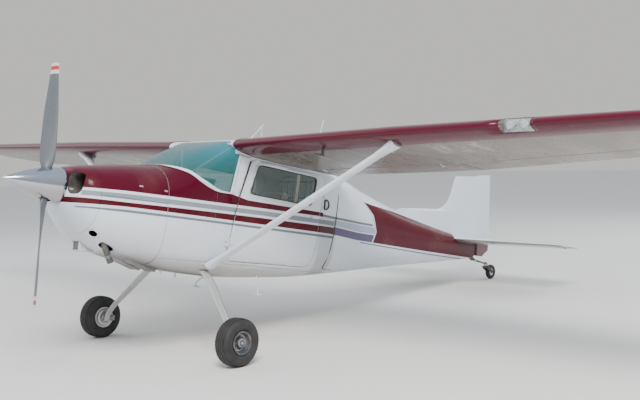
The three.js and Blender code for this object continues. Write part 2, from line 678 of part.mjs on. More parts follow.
function seat(y) {
  const cushion = slab([[1010, -390], [1010, -280], [1050, -255], [1480, -285], [1500, -395]],
    y - 220, y + 220);
  const back = slab([[1440, -300], [1590, 240], [1640, 262], [1690, 235], [1560, -395], [1470, -395]],
    y - 210, y + 210);
  return join(cushion, back);
}

function seatFrame(y) {
  const [low, high] = [y - 145, y + 145];
  return join(block(1060, 1500, low, low + 35, -420, -395 - GAP),
    block(1060, 1500, high - 35, high, -420, -395 - GAP),
    block(1080, 1110, low, high, FLOOR - 5, -400),
    block(1440, 1470, low, high, FLOOR - 5, -400));
}

function bench() {
  return join(slab([[1770, -400 + GAP], [1770, -280], [1800, -255], [2170, -270],
    [2210, -400 + GAP]], -440, 440),
    slab([[2120, -300], [2240, 210], [2290, 225], [2330, 200], [2215, -398], [2130, -398]], -430, 430));
}

// Struts, steps and the pieces under the wing

function strut(wing) {
  const p = at(...STRUT_FOOT);
  const q = at(...STRUT_TOP);
  const along = new THREE.Vector3().subVectors(q, p).normalize();
  const aft = new THREE.Vector3(-1, 0, 0);
  const flat = aft.clone().addScaledVector(along, -aft.dot(along)).normalize();
  const up = new THREE.Vector3().crossVectors(along, flat);
  const ring = (t, chord, depth) => Array.from({ length: 12 }, (_, i) => {
    const angle = 2 * Math.PI * i / 12;
    return p.clone().lerp(q, t).addScaledVector(flat, chord / 2 * Math.cos(angle))
      .addScaledVector(up, depth / 2 * Math.sin(angle));
  });
  const bar = loft([ring(0, 150, 78), ring(0.06, 135, 62), ring(0.1, STRUT_CHORD, STRUT_DEPTH),
    ring(0.93, STRUT_CHORD, STRUT_DEPTH), ring(0.97, 150, 64), ring(1.02, 190, 90)]);
  return join(bar, tieDown()).subtract(CLEAR_OF_BODY).subtract(wing.translate([0, 0, -0.4]));
}

function step() {
  const points = [[1370, 400, -660], [1290, 520, -830], [1300, 520, -872]];
  const [a, b, c] = points.map((p) => at(...p));
  return join(rod(a, b, 11, 11, 10), rod(b, c, 11, 11, 10), block(1262, 1392, 472, 568, -884, -872));
}

// A ring plate under the wing, on the strut's upper fitting
function tieDown() {
  const base = wingPoint(2450, 0.17, -0.045);
  const [s, y, z] = [-base.x, base.y, base.z];
  return block(s - 22, s + 22, y - 8, y + 8, z - 52, z + 30)
    .subtract(rod(at(s, y - 20, z - 34), at(s, y + 20, z - 34), 10, 10, 12));
}

function pitotMast(wing) {
  const base = wingPoint(1640, 0.12, -0.04);
  const [s, y, z] = [-base.x, base.y, base.z];
  return join(block(s - 22, s + 22, y - 6, y + 6, z - 70, z + 30),
    rod(at(s - 110, y, z - 62), at(s + 30, y, z - 62), 10, 10, 12))
    .subtract(wing.translate([0, 0, -0.4]));
}

// A wire aerial on the cabin roof, leaning by ds and dz
function antenna(s, z, ds, dz) {
  const foot = rod(at(s, 0, z - 30), at(s, 0, z + 12), 14);
  const wire = rod(at(s, 0, z), at(s + ds, 0, z + dz), 5, 3, 8);
  return join(foot, wire).subtract(CLEAR_OF_BODY);
}

// Two tubes from the panel's deck up to the cabin roof, inside the windscreen
function windscreenBrace() {
  const foot = [540, 0, 262];
  const arm = (side) => rod(at(foot[0], foot[1], foot[2] + 6), at(860, side * 485, 690), 12, 12, 10);
  return join(block(515, 570, -30, 30, foot[2] + GAP, foot[2] + 8), arm(1), arm(-1))
    .intersect(fuselage(400, 1200, -WALL - GAP))
    .intersect(block(400, 1200, -600, 600, foot[2] + GAP, 900));
}

// Landing gear (port side, then mirrored)

function gearLeg() {
  // y, level, station, width along the aircraft, thickness
  const rows = [[330, -640, 628, 112, 26], [470, -712, 610, 108, 24], [760, -968, 565, 88, 22],
    [1000, -1220, 520, 70, 20], [1030, -1290, 505, 66, 20], [1032, -1345, 500, 60, 20]];
  return loft(rows.map(([y, z, s, width, thick], i) => {
    const [before, after] = [rows[Math.max(0, i - 1)], rows[Math.min(rows.length - 1, i + 1)]];
    const slope = new THREE.Vector2(after[0] - before[0], after[1] - before[1]).normalize();
    const [ny, nz] = [-slope.y * thick / 2, slope.x * thick / 2];
    return [[width / 2, 0.5], [width / 2 - 8, 1], [8 - width / 2, 1], [-width / 2, 0.5],
      [-width / 2, -0.5], [8 - width / 2, -1], [width / 2 - 8, -1], [width / 2, -0.5]]
      .map(([ds, k]) => at(s + ds, y + ny * k, z + nz * k));
  })).subtract(CLEAR_OF_BODY);
}

function axle() {
  const { s, y, z } = AXLE;
  const plate = rod(at(s, 1042.3, z), at(s, 1052, z), 58, 58, 24);
  const caliper = block(s + 52, s + 116, 1043, 1078, z - 36, z + 36);
  return join(plate, caliper, rod(at(s, 1045, z), at(s, y + 70, z), 19, 19, 20),
    block(s + 20, s + 60, 1043, 1052, z - 30, z + 30))
    .subtract(rodRing(s, z));
}

// Clear space round the brake disc, inside the caliper
function rodRing(s, z) {
  return rod(at(s, 1060, z), at(s, 1070, z), 98, 98, 36)
    .subtract(rod(at(s, 1050, z), at(s, 1075, z), 24, 24, 20));
}

const WHEEL_CENTRE = at(AXLE.s, AXLE.y, AXLE.z);

function wheelHub() {
  const rim = TYRE.rim;
  return turned([[19.6, -95], [92, -95], [92, -91], [44, -91], [44, -40], [rim - 14, -40],
    [rim - 8, -76], [rim - GAP, -76], [rim - GAP, 76], [rim - 8, 76], [rim - 18, 34], [44, 24], [44, 66],
    [19.6, 66]], WHEEL_CENTRE, WHEEL_SIDES.main);
}

function tyre(size, centre, sides) {
  const { radius, width, rim } = size;
  const half = width / 2;
  const wall = [[0, 0.62], [0.28, 0.93], [0.55, 1], [0.82, 0.86]]
    .map(([up, out]) => [rim + (radius - rim) * up, half * out]);
  const side = [...wall, [radius - 4, half * 0.52], [radius, half * 0.25]];
  return turned([...side.map(([r, h]) => [r, -h]), ...side.reverse()], centre, sides);
}

// Tailwheel: a leaf spring, a castering fork and its wheel

const CASTER = { s: 6480, z: -262 };
const castUp = at(-Math.sin(rad(PITCH)), 0, Math.cos(rad(PITCH)));
const onCaster = (d) => at(CASTER.s, 0, CASTER.z).addScaledVector(castUp, d);

function tailSpring() {
  const rows = [[5960, -120, 40], [6120, -182, 38], [6300, -205, 34], [6430, -222, 30], [6480, -232, 30]];
  const leaf = loft(rows.map(([s, z, half]) => [[-9, -half], [-9, half], [9, half], [9, -half]]
    .map(([dz, y]) => at(s, y, z + dz)))).subtract(CLEAR_OF_BODY);
  return join(leaf, rod(onCaster(6), onCaster(50), 30, 30, 20))
    .subtract(bore(onCaster(0), onCaster(44), 12.4, 12.4, 16));
}

function tailFork() {
  const axlePoint = at(TAIL_AXLE.s, 0, TAIL_AXLE.z);
  const { s, z } = TAIL_AXLE;
  const arm = (y) => slab([[CASTER.s - 26, CASTER.z - 2], [CASTER.s + 26, CASTER.z + 4],
    [s + 22, z + 8], [s + 14, z - 20], [s - 22, z - 14], [CASTER.s - 20, CASTER.z - 36]], y - 4, y + 4);
  return join(rod(onCaster(-22), onCaster(5.5), 30, 30, 20), rod(onCaster(0), onCaster(40), 12, 12, 16),
    block(CASTER.s - 24, CASTER.s + 14, -44, 44, CASTER.z - 24, CASTER.z - 2), arm(40), arm(-40),
    rod(axlePoint.clone().setY(-46), axlePoint.clone().setY(46), 8, 8, 12));
}

const TAIL_CENTRE = at(TAIL_AXLE.s, 0, TAIL_AXLE.z);

function tailHub() {
  const rim = TAILWHEEL.rim;
  const side = [[8.5, 30], [20, 30], [20, 12], [rim - 10, 8], [rim - GAP, 20]];
  return turned([...side.map(([r, h]) => [r, -h]), ...side.reverse()], TAIL_CENTRE, WHEEL_SIDES.tail);
}

// Propeller and spinner, turning on the thrust line

function propeller() {
  // radius, chord, thickness, blade angle
  const rows = [[60, 76, 74, 60], [150, 84, 66, 54], [230, 128, 44, 46], [400, 164, 30, 36],
    [640, 178, 21, 27], [880, 164, 14, 21], [1070, 136, 10, 17], [PROP_RADIUS, 96, 8, 16]];
  const blade = loft(rows.map(([r, chord, thick, angle], i) => {
    const round = i < 2;
    return Array.from({ length: 12 }, (_, k) => {
      const turn = 2 * Math.PI * k / 12;
      const across = chord / 2 * Math.cos(turn);
      const bulge = round ? 1 : 1 - 0.35 * Math.cos(turn);
      const deep = thick / 2 * Math.sin(turn) * bulge;
      const [c, d] = [Math.cos(rad(angle)), Math.sin(rad(angle))];
      return new THREE.Vector3(-PROP_STATION + across * d + deep * c, -across * c + deep * d, r);
    });
  }));
  const hub = join(rod(at(SPINNER.base - GAP, 0, 0), at(-1100, 0, 0), 84, 70, 24),
    rod(at(PROP_STATION, 0, -118), at(PROP_STATION, 0, 118), 56, 56, 20));
  const shaftHole = rod(at(-930.5, 0, 0), at(-880, 0, 0), 62.8, 62.8, 24);
  return join(hub, blade, blade.rotate([180, 0, 0])).subtract(shaftHole);
}

// The spinner's [radius, station] pairs from the base to the tip, set inwards by a distance
function spinnerProfile(inset) {
  const { tip, base, radius } = SPINNER;
  const steps = 7;
  const length = base - tip - inset * 2;
  return Array.from({ length: steps }, (_, i) => {
    const along = i / (steps - 1);
    const shape = 1 - along ** 1.75;
    return [Math.max(0, (radius - inset) * shape), base - length * along];
  });
}

function revolvedAlong(profile, sides = 24) {
  const geometry = new THREE.LatheGeometry(profile.map(([r, s]) => new THREE.Vector2(r, -s)), sides);
  geometry.rotateZ(-Math.PI / 2);
  const body = solid(geometry);
  return body.volume() > 0 ? body : solid(flipped(geometry));
}

function spinner() {
  const { base, wall } = SPINNER;
  const outer = spinnerProfile(0);
  const inner = spinnerProfile(wall);
  const hollow = inner.map(([r, s]) => [r, Math.min(s, base - 8)]);
  const shell = revolvedAlong([[0, base], ...outer]).subtract(revolvedAlong([[0, base - 8], ...hollow]));
  return shell.subtract(rod(at(-1200, 0, 0), at(-880, 0, 0), 84.4, 84.4, 24))
    .subtract(rod(at(PROP_STATION, 0, -260), at(PROP_STATION, 0, 260), 62, 62, 24));
}

// Assembly

const PAINT = {
  maroon: [0x6b1220, 0.25, 0.0],
  white: [0xdde1e4, 0.28, 0.0],
  silver: [0xb9bdc2, 0.25, 0.9],
  steel: [0x8b9096, 0.4, 0.8],
  dark: [0x33363b, 0.5, 0.4],
  rubber: [0x17181a, 0.9, 0.0],
  glass: [0x9fd2cf, 0.08, 0.0],
  trim: [0x4b4d52, 0.8, 0.0],
  cloth: [0x8b8378, 0.95, 0.0],
};

const level = new THREE.Group();

function place(name, body, paint) {
  const [color, roughness, metalness] = PAINT[paint];
  const material = new THREE.MeshStandardMaterial({ color, roughness, metalness });
  const mesh = new THREE.Mesh(geometryOf(body), material);
  mesh.name = name;
  level.add(mesh);
}

function placePair(name, body, paint) {
  place(`${name}_left`, body, paint);
  place(`${name}_right`, mirrored(body), paint);
}

const { wing, flap, aileron } = wingAssembly();
const tail = stabilizerAssembly();
const aroundTail = join(tail.whole.translate([0, 0, -0.4]), tail.whole.translate([0, 0, 0.4]),
  tail.whole.translate([0.4, 0, 0]));
const { fin, rudder } = finAssembly();
const light = landingLight();
const cowl = cowling();
const shell = cabin();
const doors = door();

place('nose_bowl', noseBowl(), 'white');
place('cowling_upper', cowl.upper, 'maroon');
place('cowling_lower', cowl.lower, 'white');
placePair('cowl_flap', cowlFlap(), 'white');
place('exhaust', exhaust(), 'steel');
place('chin_intake', chinIntake(), 'white');
place('engine_block', engine(), 'dark');
place('firewall', fuselage(0, FIREWALL, -1).subtract(cowlFlapBay(1)).subtract(cowlFlapBay(-1)), 'steel');
place('forward_fuselage', shell.forward, 'maroon');
place('cabin_floor', shell.floor, 'white');
place('cabin_side_left', shell.left, 'white');
place('cabin_side_right', shell.right, 'white');
place('cabin_roof', shell.roof, 'white');
place('rear_bulkhead', shell.bulkhead, 'trim');
placePair('door', doors.body, 'white');
placePair('door_window', doors.pane, 'glass');
place('windscreen', windscreen(), 'glass');
place('windscreen_brace', windscreenBrace(), 'steel');
place('antenna_front', antenna(1345, 733, 272, 304), 'dark');
place('antenna_rear', antenna(2447, 580, 156, 693), 'dark');
place('instrument_panel', instrumentPanel(), 'dark');
place('control_wheel_left', controlWheel(250), 'dark');
place('control_wheel_right', controlWheel(-250), 'dark');
place('seat_left', seat(SEAT_OFFSET), 'cloth');
place('seat_right', seat(-SEAT_OFFSET), 'cloth');
place('rear_bench', bench(), 'cloth');
place('tailcone', tailcone(aroundTail), 'maroon');
place('fin', fin.subtract(aroundTail).subtract(block(6062, 6200, -60, 60, -200, 94)), 'white');
place('rudder', rudder, 'white');
place('stabilizer', tail.stabilizer, 'white');
place('elevators', tail.elevators, 'white');
place('wing_left', wing.subtract(light.bay), 'white');
place('wing_right', mirrored(wing), 'white');
place('landing_light', light.lens, 'glass');
placePair('flap', flap, 'white');
placePair('aileron', aileron, 'white');
placePair('strut', strut(wing), 'white');
place('pitot_mast', pitotMast(wing), 'dark');
placePair('gear_leg', gearLeg(), 'steel');
placePair('axle', axle(), 'steel');
placePair('wheel', wheelHub(), 'silver');
placePair('tyre', tyre(TYRE, WHEEL_CENTRE, WHEEL_SIDES.main), 'rubber');
place('tail_spring', tailSpring(), 'steel');
place('tailwheel_fork', tailFork(), 'steel');
place('tailwheel_hub', tailHub(), 'silver');
place('tailwheel_tyre', tyre(TAILWHEEL, TAIL_CENTRE, WHEEL_SIDES.tail), 'rubber');
place('propeller', propeller().rotate([PROP_ROLL, 0, 0]), 'dark');
place('spinner', spinner().rotate([PROP_ROLL, 0, 0]), 'silver');

// The level model tips onto its wheels and stands over its middle

level.rotation.y = -rad(PITCH);
const aircraft = new THREE.Group();
aircraft.add(level);
aircraft.updateMatrixWorld(true);
const box = new THREE.Box3().setFromObject(aircraft, true);
level.position.set(-(box.min.x + box.max.x) / 2, -(box.min.y + box.max.y) / 2, -box.min.z);

export default aircraft;
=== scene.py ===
# %% [markdown]
# # A light aircraft, parked on its tailwheel gear
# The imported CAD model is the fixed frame, and every piece made here sits on it. The aircraft is
# easiest to describe level, as its makers do: stations run aft from the firewall, y runs to port
# and levels run up from the propeller's axis, all in millimetres. One matrix then tips that level
# aircraft onto its wheels, and it is worked out from the place of the port axle in the frame.

# %% Load the frame and place the level aircraft in it
import json
import math
import bmesh
import bpy
import numpy as np
from mathutils import Matrix, Vector


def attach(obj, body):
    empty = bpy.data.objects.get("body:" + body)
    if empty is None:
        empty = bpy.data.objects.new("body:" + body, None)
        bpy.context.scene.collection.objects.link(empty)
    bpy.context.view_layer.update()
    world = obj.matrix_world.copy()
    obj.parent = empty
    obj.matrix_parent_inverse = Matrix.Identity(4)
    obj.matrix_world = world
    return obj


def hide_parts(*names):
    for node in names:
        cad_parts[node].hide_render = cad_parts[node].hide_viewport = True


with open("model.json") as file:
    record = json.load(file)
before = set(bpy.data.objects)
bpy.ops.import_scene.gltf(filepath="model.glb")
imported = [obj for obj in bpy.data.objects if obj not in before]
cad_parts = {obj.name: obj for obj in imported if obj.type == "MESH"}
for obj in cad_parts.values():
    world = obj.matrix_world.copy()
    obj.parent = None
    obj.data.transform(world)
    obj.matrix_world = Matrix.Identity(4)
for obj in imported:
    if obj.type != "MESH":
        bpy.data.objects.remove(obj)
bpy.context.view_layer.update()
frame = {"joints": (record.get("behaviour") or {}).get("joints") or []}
joints = {joint["name"]: joint for joint in frame["joints"]}

PITCH = 10.15          # nose-up angle on the ground, degrees
AXLE = (500, 1158, -1308)
TIP = Matrix.Rotation(-math.radians(PITCH), 4, "Y") @ Matrix.Scale(0.001, 4)
port_axle = Vector(joints["wheel_left_spin"]["pos_m"])
LEVEL = Matrix.Translation(port_axle - TIP @ Vector((-AXLE[0], AXLE[1], AXLE[2]))) @ TIP


def at(station, y, level):
    """The place in the frame, in metres, of a station, y and level in millimetres."""
    return LEVEL @ Vector((-station, y, level))


def level_place(joint):
    """Station, y and level, in millimetres, of a joint's place in the frame."""
    x, y, z = LEVEL.inverted() @ Vector(joints[joint]["pos_m"])
    return np.array((-x, y, z))


TAIL_AXLE = level_place("tailwheel_spin")
print(f"The tail axle is at station {TAIL_AXLE[0]:.1f} and level {TAIL_AXLE[2]:.1f}")

# %% [markdown]
# ## Forms as rings and faces
# Almost everything on an aircraft is a loft, a tube, a turned form or a plate. One small class
# collects such closed forms, in stations, and makes one mesh of them, with its sharp edges kept
# sharp and the rest shaded smooth. A boolean helper cuts one mesh with another.

# %% Shape collects forms and makes a mesh of them
def circle(count, shift=0.0):
    """Angles spread evenly over one full turn."""
    return (np.arange(count) + shift) * 2 * np.pi / count


def unit(v):
    return np.asarray(v, float) / np.linalg.norm(v)


class Shape:
    """Closed forms in station, y and level, made into one mesh."""

    def __init__(self):
        self.points, self.faces = [], []

    def add(self, points, faces):
        base = len(self.points)
        self.points += [tuple(map(float, p)) for p in points]
        self.faces += [tuple(i + base for i in face) for face in faces]
        return self

    def loft(self, rings, closed=False):
        """A skin over rings of the same number of points, with flat ends unless it closes."""
        rings = np.asarray(rings, float)
        count, size = rings.shape[:2]
        faces = []
        for r in range(count if closed else count - 1):
            a, b = r * size, (r + 1) % count * size
            faces += [(a + i, a + (i + 1) % size, b + (i + 1) % size, b + i) for i in range(size)]
        if not closed:
            faces += [tuple(range(size)), tuple(range((count - 1) * size, count * size))]
        return self.add(rings.reshape(-1, 3), faces)

    def block(self, s, y, z):
        """A block between two stations, two y and two levels."""
        corners = ((y[0], z[0]), (y[1], z[0]), (y[1], z[1]), (y[0], z[1]))
        return self.loft([[(place, a, b) for a, b in corners] for place in s])

    def slab(self, outline, y):
        """An outline of station and level, carried from one y to another."""
        return self.loft([[(s, side, z) for s, z in outline] for side in y])

    def tube(self, path, radius, sides=14):
        """A round bar along a path, with one radius or one for each point."""
        path = np.asarray(path, float)
        radii = np.broadcast_to(radius, len(path))
        along = np.gradient(path, axis=0)
        side = np.cross(along[0], (0, 0, 1) if abs(unit(along[0])[2]) < 0.9 else (0, 1, 0))
        rings = []
        for p, d, r in zip(path, along, radii):
            side = unit(side - d * (side @ d) / (d @ d))
            other = np.cross(unit(d), side)
            turn = circle(sides)
            rings.append(p + r * (np.outer(np.cos(turn), side) + np.outer(np.sin(turn), other)))
        return self.loft(rings)

    def turned(self, profile, centre, axis=(0, 1, 0), sides=64):
        """A closed profile of radius and distance along an axis, turned round it."""
        axis = unit(axis)
        side = unit(np.cross(axis, (0, 0, 1) if abs(axis[2]) < 0.9 else (1, 0, 0)))
        other = np.cross(axis, side)
        turn = circle(sides)
        spokes = np.outer(np.cos(turn), side) + np.outer(np.sin(turn), other)
        rings = [[np.asarray(centre) + r * spoke + h * axis for r, h in profile] for spoke in spokes]
        return self.loft(rings, closed=True)

    def ball(self, centre, radius, sides=16):
        steps = np.linspace(0.02, np.pi - 0.02, sides // 2 + 1)
        return self.loft([[(centre[0] + radius[0] * math.cos(b),
                            centre[1] + radius[1] * math.sin(b) * math.cos(a),
                            centre[2] + radius[2] * math.sin(b) * math.sin(a))
                           for a in circle(sides)] for b in steps])

    def both_sides(self):
        """Adds the same forms on the other side of the aircraft."""
        points = [(s, -y, z) for s, y, z in self.points]
        return self.add(points, list(self.faces))

    def mirrored(self):
        other = Shape()
        return other.add([(s, -y, z) for s, y, z in self.points], self.faces)

    def mesh(self, name, smooth=35, bevel=0.0):
        """An object of all the forms, with edges over the angle sharp and rounded by the bevel."""
        data = bpy.data.meshes.new(name)
        data.from_pydata([at(*p) for p in self.points], [], self.faces)
        grown = bmesh.new()
        grown.from_mesh(data)
        bmesh.ops.recalc_face_normals(grown, faces=grown.faces)
        grown.to_mesh(data)
        grown.free()
        made = linked(name, data)
        if bevel:
            rounding = made.modifiers.new("rounding", "BEVEL")
            rounding.width, rounding.segments, rounding.limit_method = bevel / 1000, 2, "ANGLE"
            rounding.angle_limit = math.radians(30)
            applied(made)
        soften(made, smooth)
        return made


def linked(name, data):
    """A new object of the scene, with its name's spaces as underscores."""
    made = bpy.data.objects.new(name.replace(" ", "_"), data)
    bpy.context.scene.collection.objects.link(made)
    return made


def applied(made):
    """Turns what an object's modifiers make into its own mesh."""
    graph = bpy.context.evaluated_depsgraph_get()
    data = bpy.data.meshes.new_from_object(made.evaluated_get(graph))
    made.modifiers.clear()
    made.data = data
    return made


def soften(made, angle):
    """Smooth shading, with every edge over the angle kept sharp."""
    grown = bmesh.new()
    grown.from_mesh(made.data)
    for face in grown.faces:
        face.smooth = True
    for edge in grown.edges:
        edge.smooth = len(edge.link_faces) == 2 and edge.calc_face_angle(0) < math.radians(angle)
    grown.to_mesh(made.data)
    grown.free()
    return made


def carve(made, cutter, operation="DIFFERENCE"):
    """Cuts one mesh with a Shape or another mesh, which is then removed. The exact solver now and
    then returns nothing for two sound solids, and then the manifold solver does the same cut."""
    tool = cutter.mesh("cutter") if isinstance(cutter, Shape) else cutter
    whole = made.data
    for solver in ("EXACT", "MANIFOLD"):
        made.data = whole
        step = made.modifiers.new("cut", "BOOLEAN")
        step.operation, step.solver, step.object = operation, solver, tool
        bpy.context.view_layer.update()
        applied(made)
        if made.data.polygons:
            break
    bpy.data.objects.remove(tool)
    return made


def finished(made, look, *nodes, body="airframe"):
    """Gives a piece its material and body, and hides the CAD nodes it stands for."""
    made.data.materials.clear()
    made.data.materials.append(PAINT[look])
    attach(made, body)
    if nodes:
        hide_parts(*nodes)
    return made


def box(s, y, z):
    return Shape().block(s, y, z)


def rounded(outline, radius, steps=5):
    """An outline with each corner turned into an arc of about the radius."""
    points = np.asarray(outline, float)
    made = []
    for i, p in enumerate(points):
        before, after = points[i - 1], points[(i + 1) % len(points)]
        a = p + unit(before - p) * min(radius, np.linalg.norm(before - p) * 0.45)
        b = p + unit(after - p) * min(radius, np.linalg.norm(after - p) * 0.45)
        made += [(1 - t) ** 2 * a + 2 * t * (1 - t) * p + t * t * b for t in np.linspace(0, 1, steps)]
    return made


def grown(outline, distance):
    """An outline with its sides moved out by a distance."""
    p = np.asarray(outline, float)
    area = np.sum(p[:, 0] * np.roll(p[:, 1], -1) - p[:, 1] * np.roll(p[:, 0], -1))
    along = np.roll(p, -1, axis=0) - p
    out = np.stack([along[:, 1], -along[:, 0]], 1) / np.linalg.norm(along, axis=1)[:, None] * np.sign(area)
    before = np.roll(out, 1, axis=0)
    return p + (out + before) * distance / (1 + np.sum(out * before, axis=1))[:, None]


# %% [markdown]
# ## Camera, light and floor
# The camera stands where the photograph's did, worked out from the places of the wheels, wing tips,
# tail and doors in it. Three large soft lights and a pale floor make a plain studio. The key light
# stands ahead on the port side, as the sun does in the photograph.

# %% Camera
CAMERA = Vector((7.8618, 7.5313, 2.001))
YAW, DOWN, ROLL = math.radians(223.36), math.radians(-3.0), math.radians(-1.54)
LENS = 50.4


def make_camera():
    forward = Vector((math.cos(YAW) * math.cos(DOWN), math.sin(YAW) * math.cos(DOWN), math.sin(DOWN)))
    right = forward.cross(Vector((0, 0, 1))).normalized()
    up = right.cross(forward)
    side = right * math.cos(ROLL) + up * math.sin(ROLL)
    top = up * math.cos(ROLL) - right * math.sin(ROLL)
    camera = bpy.data.objects.new("camera", bpy.data.cameras.new("camera"))
    bpy.context.scene.collection.objects.link(camera)
    camera.matrix_world = Matrix((side, top, -forward)).transposed().to_4x4()
    camera.location = CAMERA
    camera.data.lens, camera.data.sensor_width = LENS, 36
    camera.data.clip_end = 200
    bpy.context.scene.camera = camera


make_camera()

# %% Lights
LIGHTS = [  # name, place, size, watts, colour
    ("key", (9, 9, 12), 6.0, 3200, (1.0, 0.98, 0.95)),
    ("fill", (6, -12, 8), 12.0, 700, (0.9, 0.95, 1.0)),
    ("back", (-13, 4, 9), 10.0, 900, (0.95, 0.97, 1.0)),
]


def make_lights():
    for name, place, size, watts, colour in LIGHTS:
        light = bpy.data.lights.new(name, "AREA")
        light.energy, light.size, light.color = watts, size, colour
        lamp = bpy.data.objects.new(name, light)
        lamp.location = place
        lamp.rotation_euler = (Vector((0, 0, 1)) - Vector(place)).to_track_quat("-Z", "Y").to_euler()
        bpy.context.scene.collection.objects.link(lamp)
    world = bpy.data.worlds.new("studio")
    bpy.context.scene.world = world
    world.use_nodes = True
    nodes, links = world.node_tree.nodes, world.node_tree.links
    sky = nodes["Background"]
    sky.inputs["Strength"].default_value = 0.85
    place = nodes.new("ShaderNodeTexCoord")
    axes = nodes.new("ShaderNodeSeparateXYZ")
    ramp = nodes.new("ShaderNodeValToRGB")
    links.new(place.outputs["Generated"], axes.inputs[0])
    links.new(axes.outputs["Z"], ramp.inputs[0])
    links.new(ramp.outputs[0], sky.inputs["Color"])
    ramp.color_ramp.elements[0].color = (0.80, 0.79, 0.77, 1)
    ramp.color_ramp.elements[1].color = (0.82, 0.90, 1.0, 1)
    ramp.color_ramp.elements[0].position, ramp.color_ramp.elements[1].position = 0.42, 0.75


make_lights()
# %% [markdown]
# ## Shader graphs in plain arithmetic
# A material here is worked out from the level aircraft's own stations, so a stripe is an inequality
# between a level and a station. `Wire` wraps a shader socket so that it adds, multiplies and
# compares like a number, and `Graph` makes any other node in one call.

# %% Wire and Graph
class Wire:
    """A shader socket that behaves like a number."""

    def __init__(self, graph, socket):
        self.graph, self.socket = graph, socket

    def __add__(self, other):
        return self.graph.math("ADD", self, other)

    def __sub__(self, other):
        return self.graph.math("SUBTRACT", self, other)

    def __rsub__(self, other):
        return self.graph.math("SUBTRACT", other, self)

    def __mul__(self, other):
        return self.graph.math("MULTIPLY", self, other)

    def __truediv__(self, other):
        return self.graph.math("DIVIDE", self, other)

    def __rtruediv__(self, other):
        return self.graph.math("DIVIDE", other, self)

    def __neg__(self):
        return self * -1

    __radd__, __rmul__ = __add__, __mul__

    def above(self, edge, soft=1.5):
        """0 below an edge and 1 above it, with a soft step."""
        return ((self - edge) / (2 * soft) + 0.5).clamped()

    def below(self, edge, soft=1.5):
        return 1 - self.above(edge, soft)

    def between(self, low, high, soft=1.5):
        return self.above(low, soft) * self.below(high, soft)

    def clamped(self):
        made = self.graph.math("ADD", self, 0)
        made.socket.node.use_clamp = True
        return made

    def size(self):
        return self.graph.math("ABSOLUTE", self)


class Graph:
    """A material's nodes, with a Principled shader at their end."""

    def __init__(self, name, **constants):
        self.material = bpy.data.materials.new(name)
        self.material.use_nodes = True
        self.tree = self.material.node_tree
        self.shader = self.tree.nodes["Principled BSDF"]
        for socket, value in constants.items():
            self.shader.inputs[socket.replace("_", " ")].default_value = value

    def put(self, socket, value):
        """Sets an input to a constant, or links it to a wire or a node's output."""
        value = value.socket if isinstance(value, Wire) else value
        if isinstance(value, bpy.types.NodeSocket):
            self.tree.links.new(value, socket)
        else:
            socket.default_value = value

    def node(self, kind, settings=None, output=0, **inputs):
        """Any node: its type, its settings, and its inputs by name or as _0, _1 by place."""
        made = self.tree.nodes.new("ShaderNode" + kind)
        for setting, value in (settings or {}).items():
            setattr(made, setting, value)
        for name, value in inputs.items():
            key = int(name[1:]) if name.startswith("_") else name.replace("_", " ")
            self.put(made.inputs[key], value)
        return Wire(self, made.outputs[output])

    def math(self, operation, *values):
        made = self.tree.nodes.new("ShaderNodeMath")
        made.operation = operation
        for socket, value in zip(made.inputs, values):
            self.put(socket, value)
        return Wire(self, made.outputs[0])

    def mix(self, factor, a, b):
        """From colour a to colour b as the factor goes from 0 to 1."""
        made = self.tree.nodes.new("ShaderNodeMix")
        made.data_type = "RGBA"
        for index, value in ((0, factor), (6, a), (7, b)):
            value = (*value, 1) if isinstance(value, tuple) and len(value) == 3 else value
            self.put(made.inputs[index], value)
        return Wire(self, made.outputs[2])

    def place(self):
        """Station, y and level, in millimetres, of the point that is shaded."""
        spot = self.node("TexCoord", output="Object")
        axes = self.tree.nodes.new("ShaderNodeSeparateXYZ")
        self.put(axes.inputs[0], spot)
        x, y, z = (Wire(self, out) * 1000 for out in axes.outputs)
        home = LEVEL.translation * 1000
        c, d = math.cos(math.radians(PITCH)), math.sin(math.radians(PITCH))
        x, z = x - home.x, z - home.z
        return -(x * c + z * d), y, z * c - x * d

    def facing_up(self):
        """1 where the surface faces up and 0 where it faces down."""
        normal = self.node("NewGeometry", output="Normal")
        return self.node("SeparateXYZ", output=2, _0=normal).above(0.02, 0.02)

    def line(self, x, table):
        """The height at x of a line through a table's points, flat beyond its ends."""
        made = table[0][1]
        for (x0, y0), (x1, y1) in zip(table, table[1:]):
            made = ((x - x0) / (x1 - x0)).clamped() * (y1 - y0) + made
        return made

    def noise(self, scale, detail=3.0, rough=0.55, stretch=(1, 1, 1), seed=0.0):
        """Cloudy noise from 0 to 1, in the frame, with `scale` lumps to a metre."""
        spot = self.node("TexCoord", output="Object")
        spread = self.node("Mapping", Vector=spot, Scale=stretch, Location=(seed, seed, seed))
        return self.node("TexNoise", Vector=spread, Scale=scale, Detail=detail, Roughness=rough)

    def bump(self, height, strength=0.3, distance=0.002):
        normal = self.node("Bump", Height=height, Strength=strength, Distance=distance)
        self.put(self.shader.inputs["Normal"], normal)

    def done(self, **varying):
        for socket, value in varying.items():
            self.put(self.shader.inputs[socket.replace("_", " ")], value)
        return self.material


# %% [markdown]
# ## The paint scheme
# The fuselage is maroon above, white below, and a stack of stripes runs along it: red, a white
# line, silver grey, a white line, red, a white line and a thin dark line. Each edge is a level that
# drifts a little along the stations, so it is a short table. Dust, streaks and specks go over the
# paint, because the aircraft isn't new, and the paint turns darker and browner towards the belly.

# %% Colours
WHITE = (0.72, 0.78, 0.86)
MAROON = (0.080, 0.004, 0.016)
RED = (0.080, 0.004, 0.012)
GREY = (0.24, 0.28, 0.33)
PURPLE = (0.115, 0.100, 0.185)
PALE = (0.36, 0.43, 0.55)
DARK_LINE = (0.16, 0.19, 0.24)
DUST = (0.33, 0.27, 0.20)
SOOT = (0.06, 0.055, 0.05)
TAN = (0.30, 0.235, 0.175)

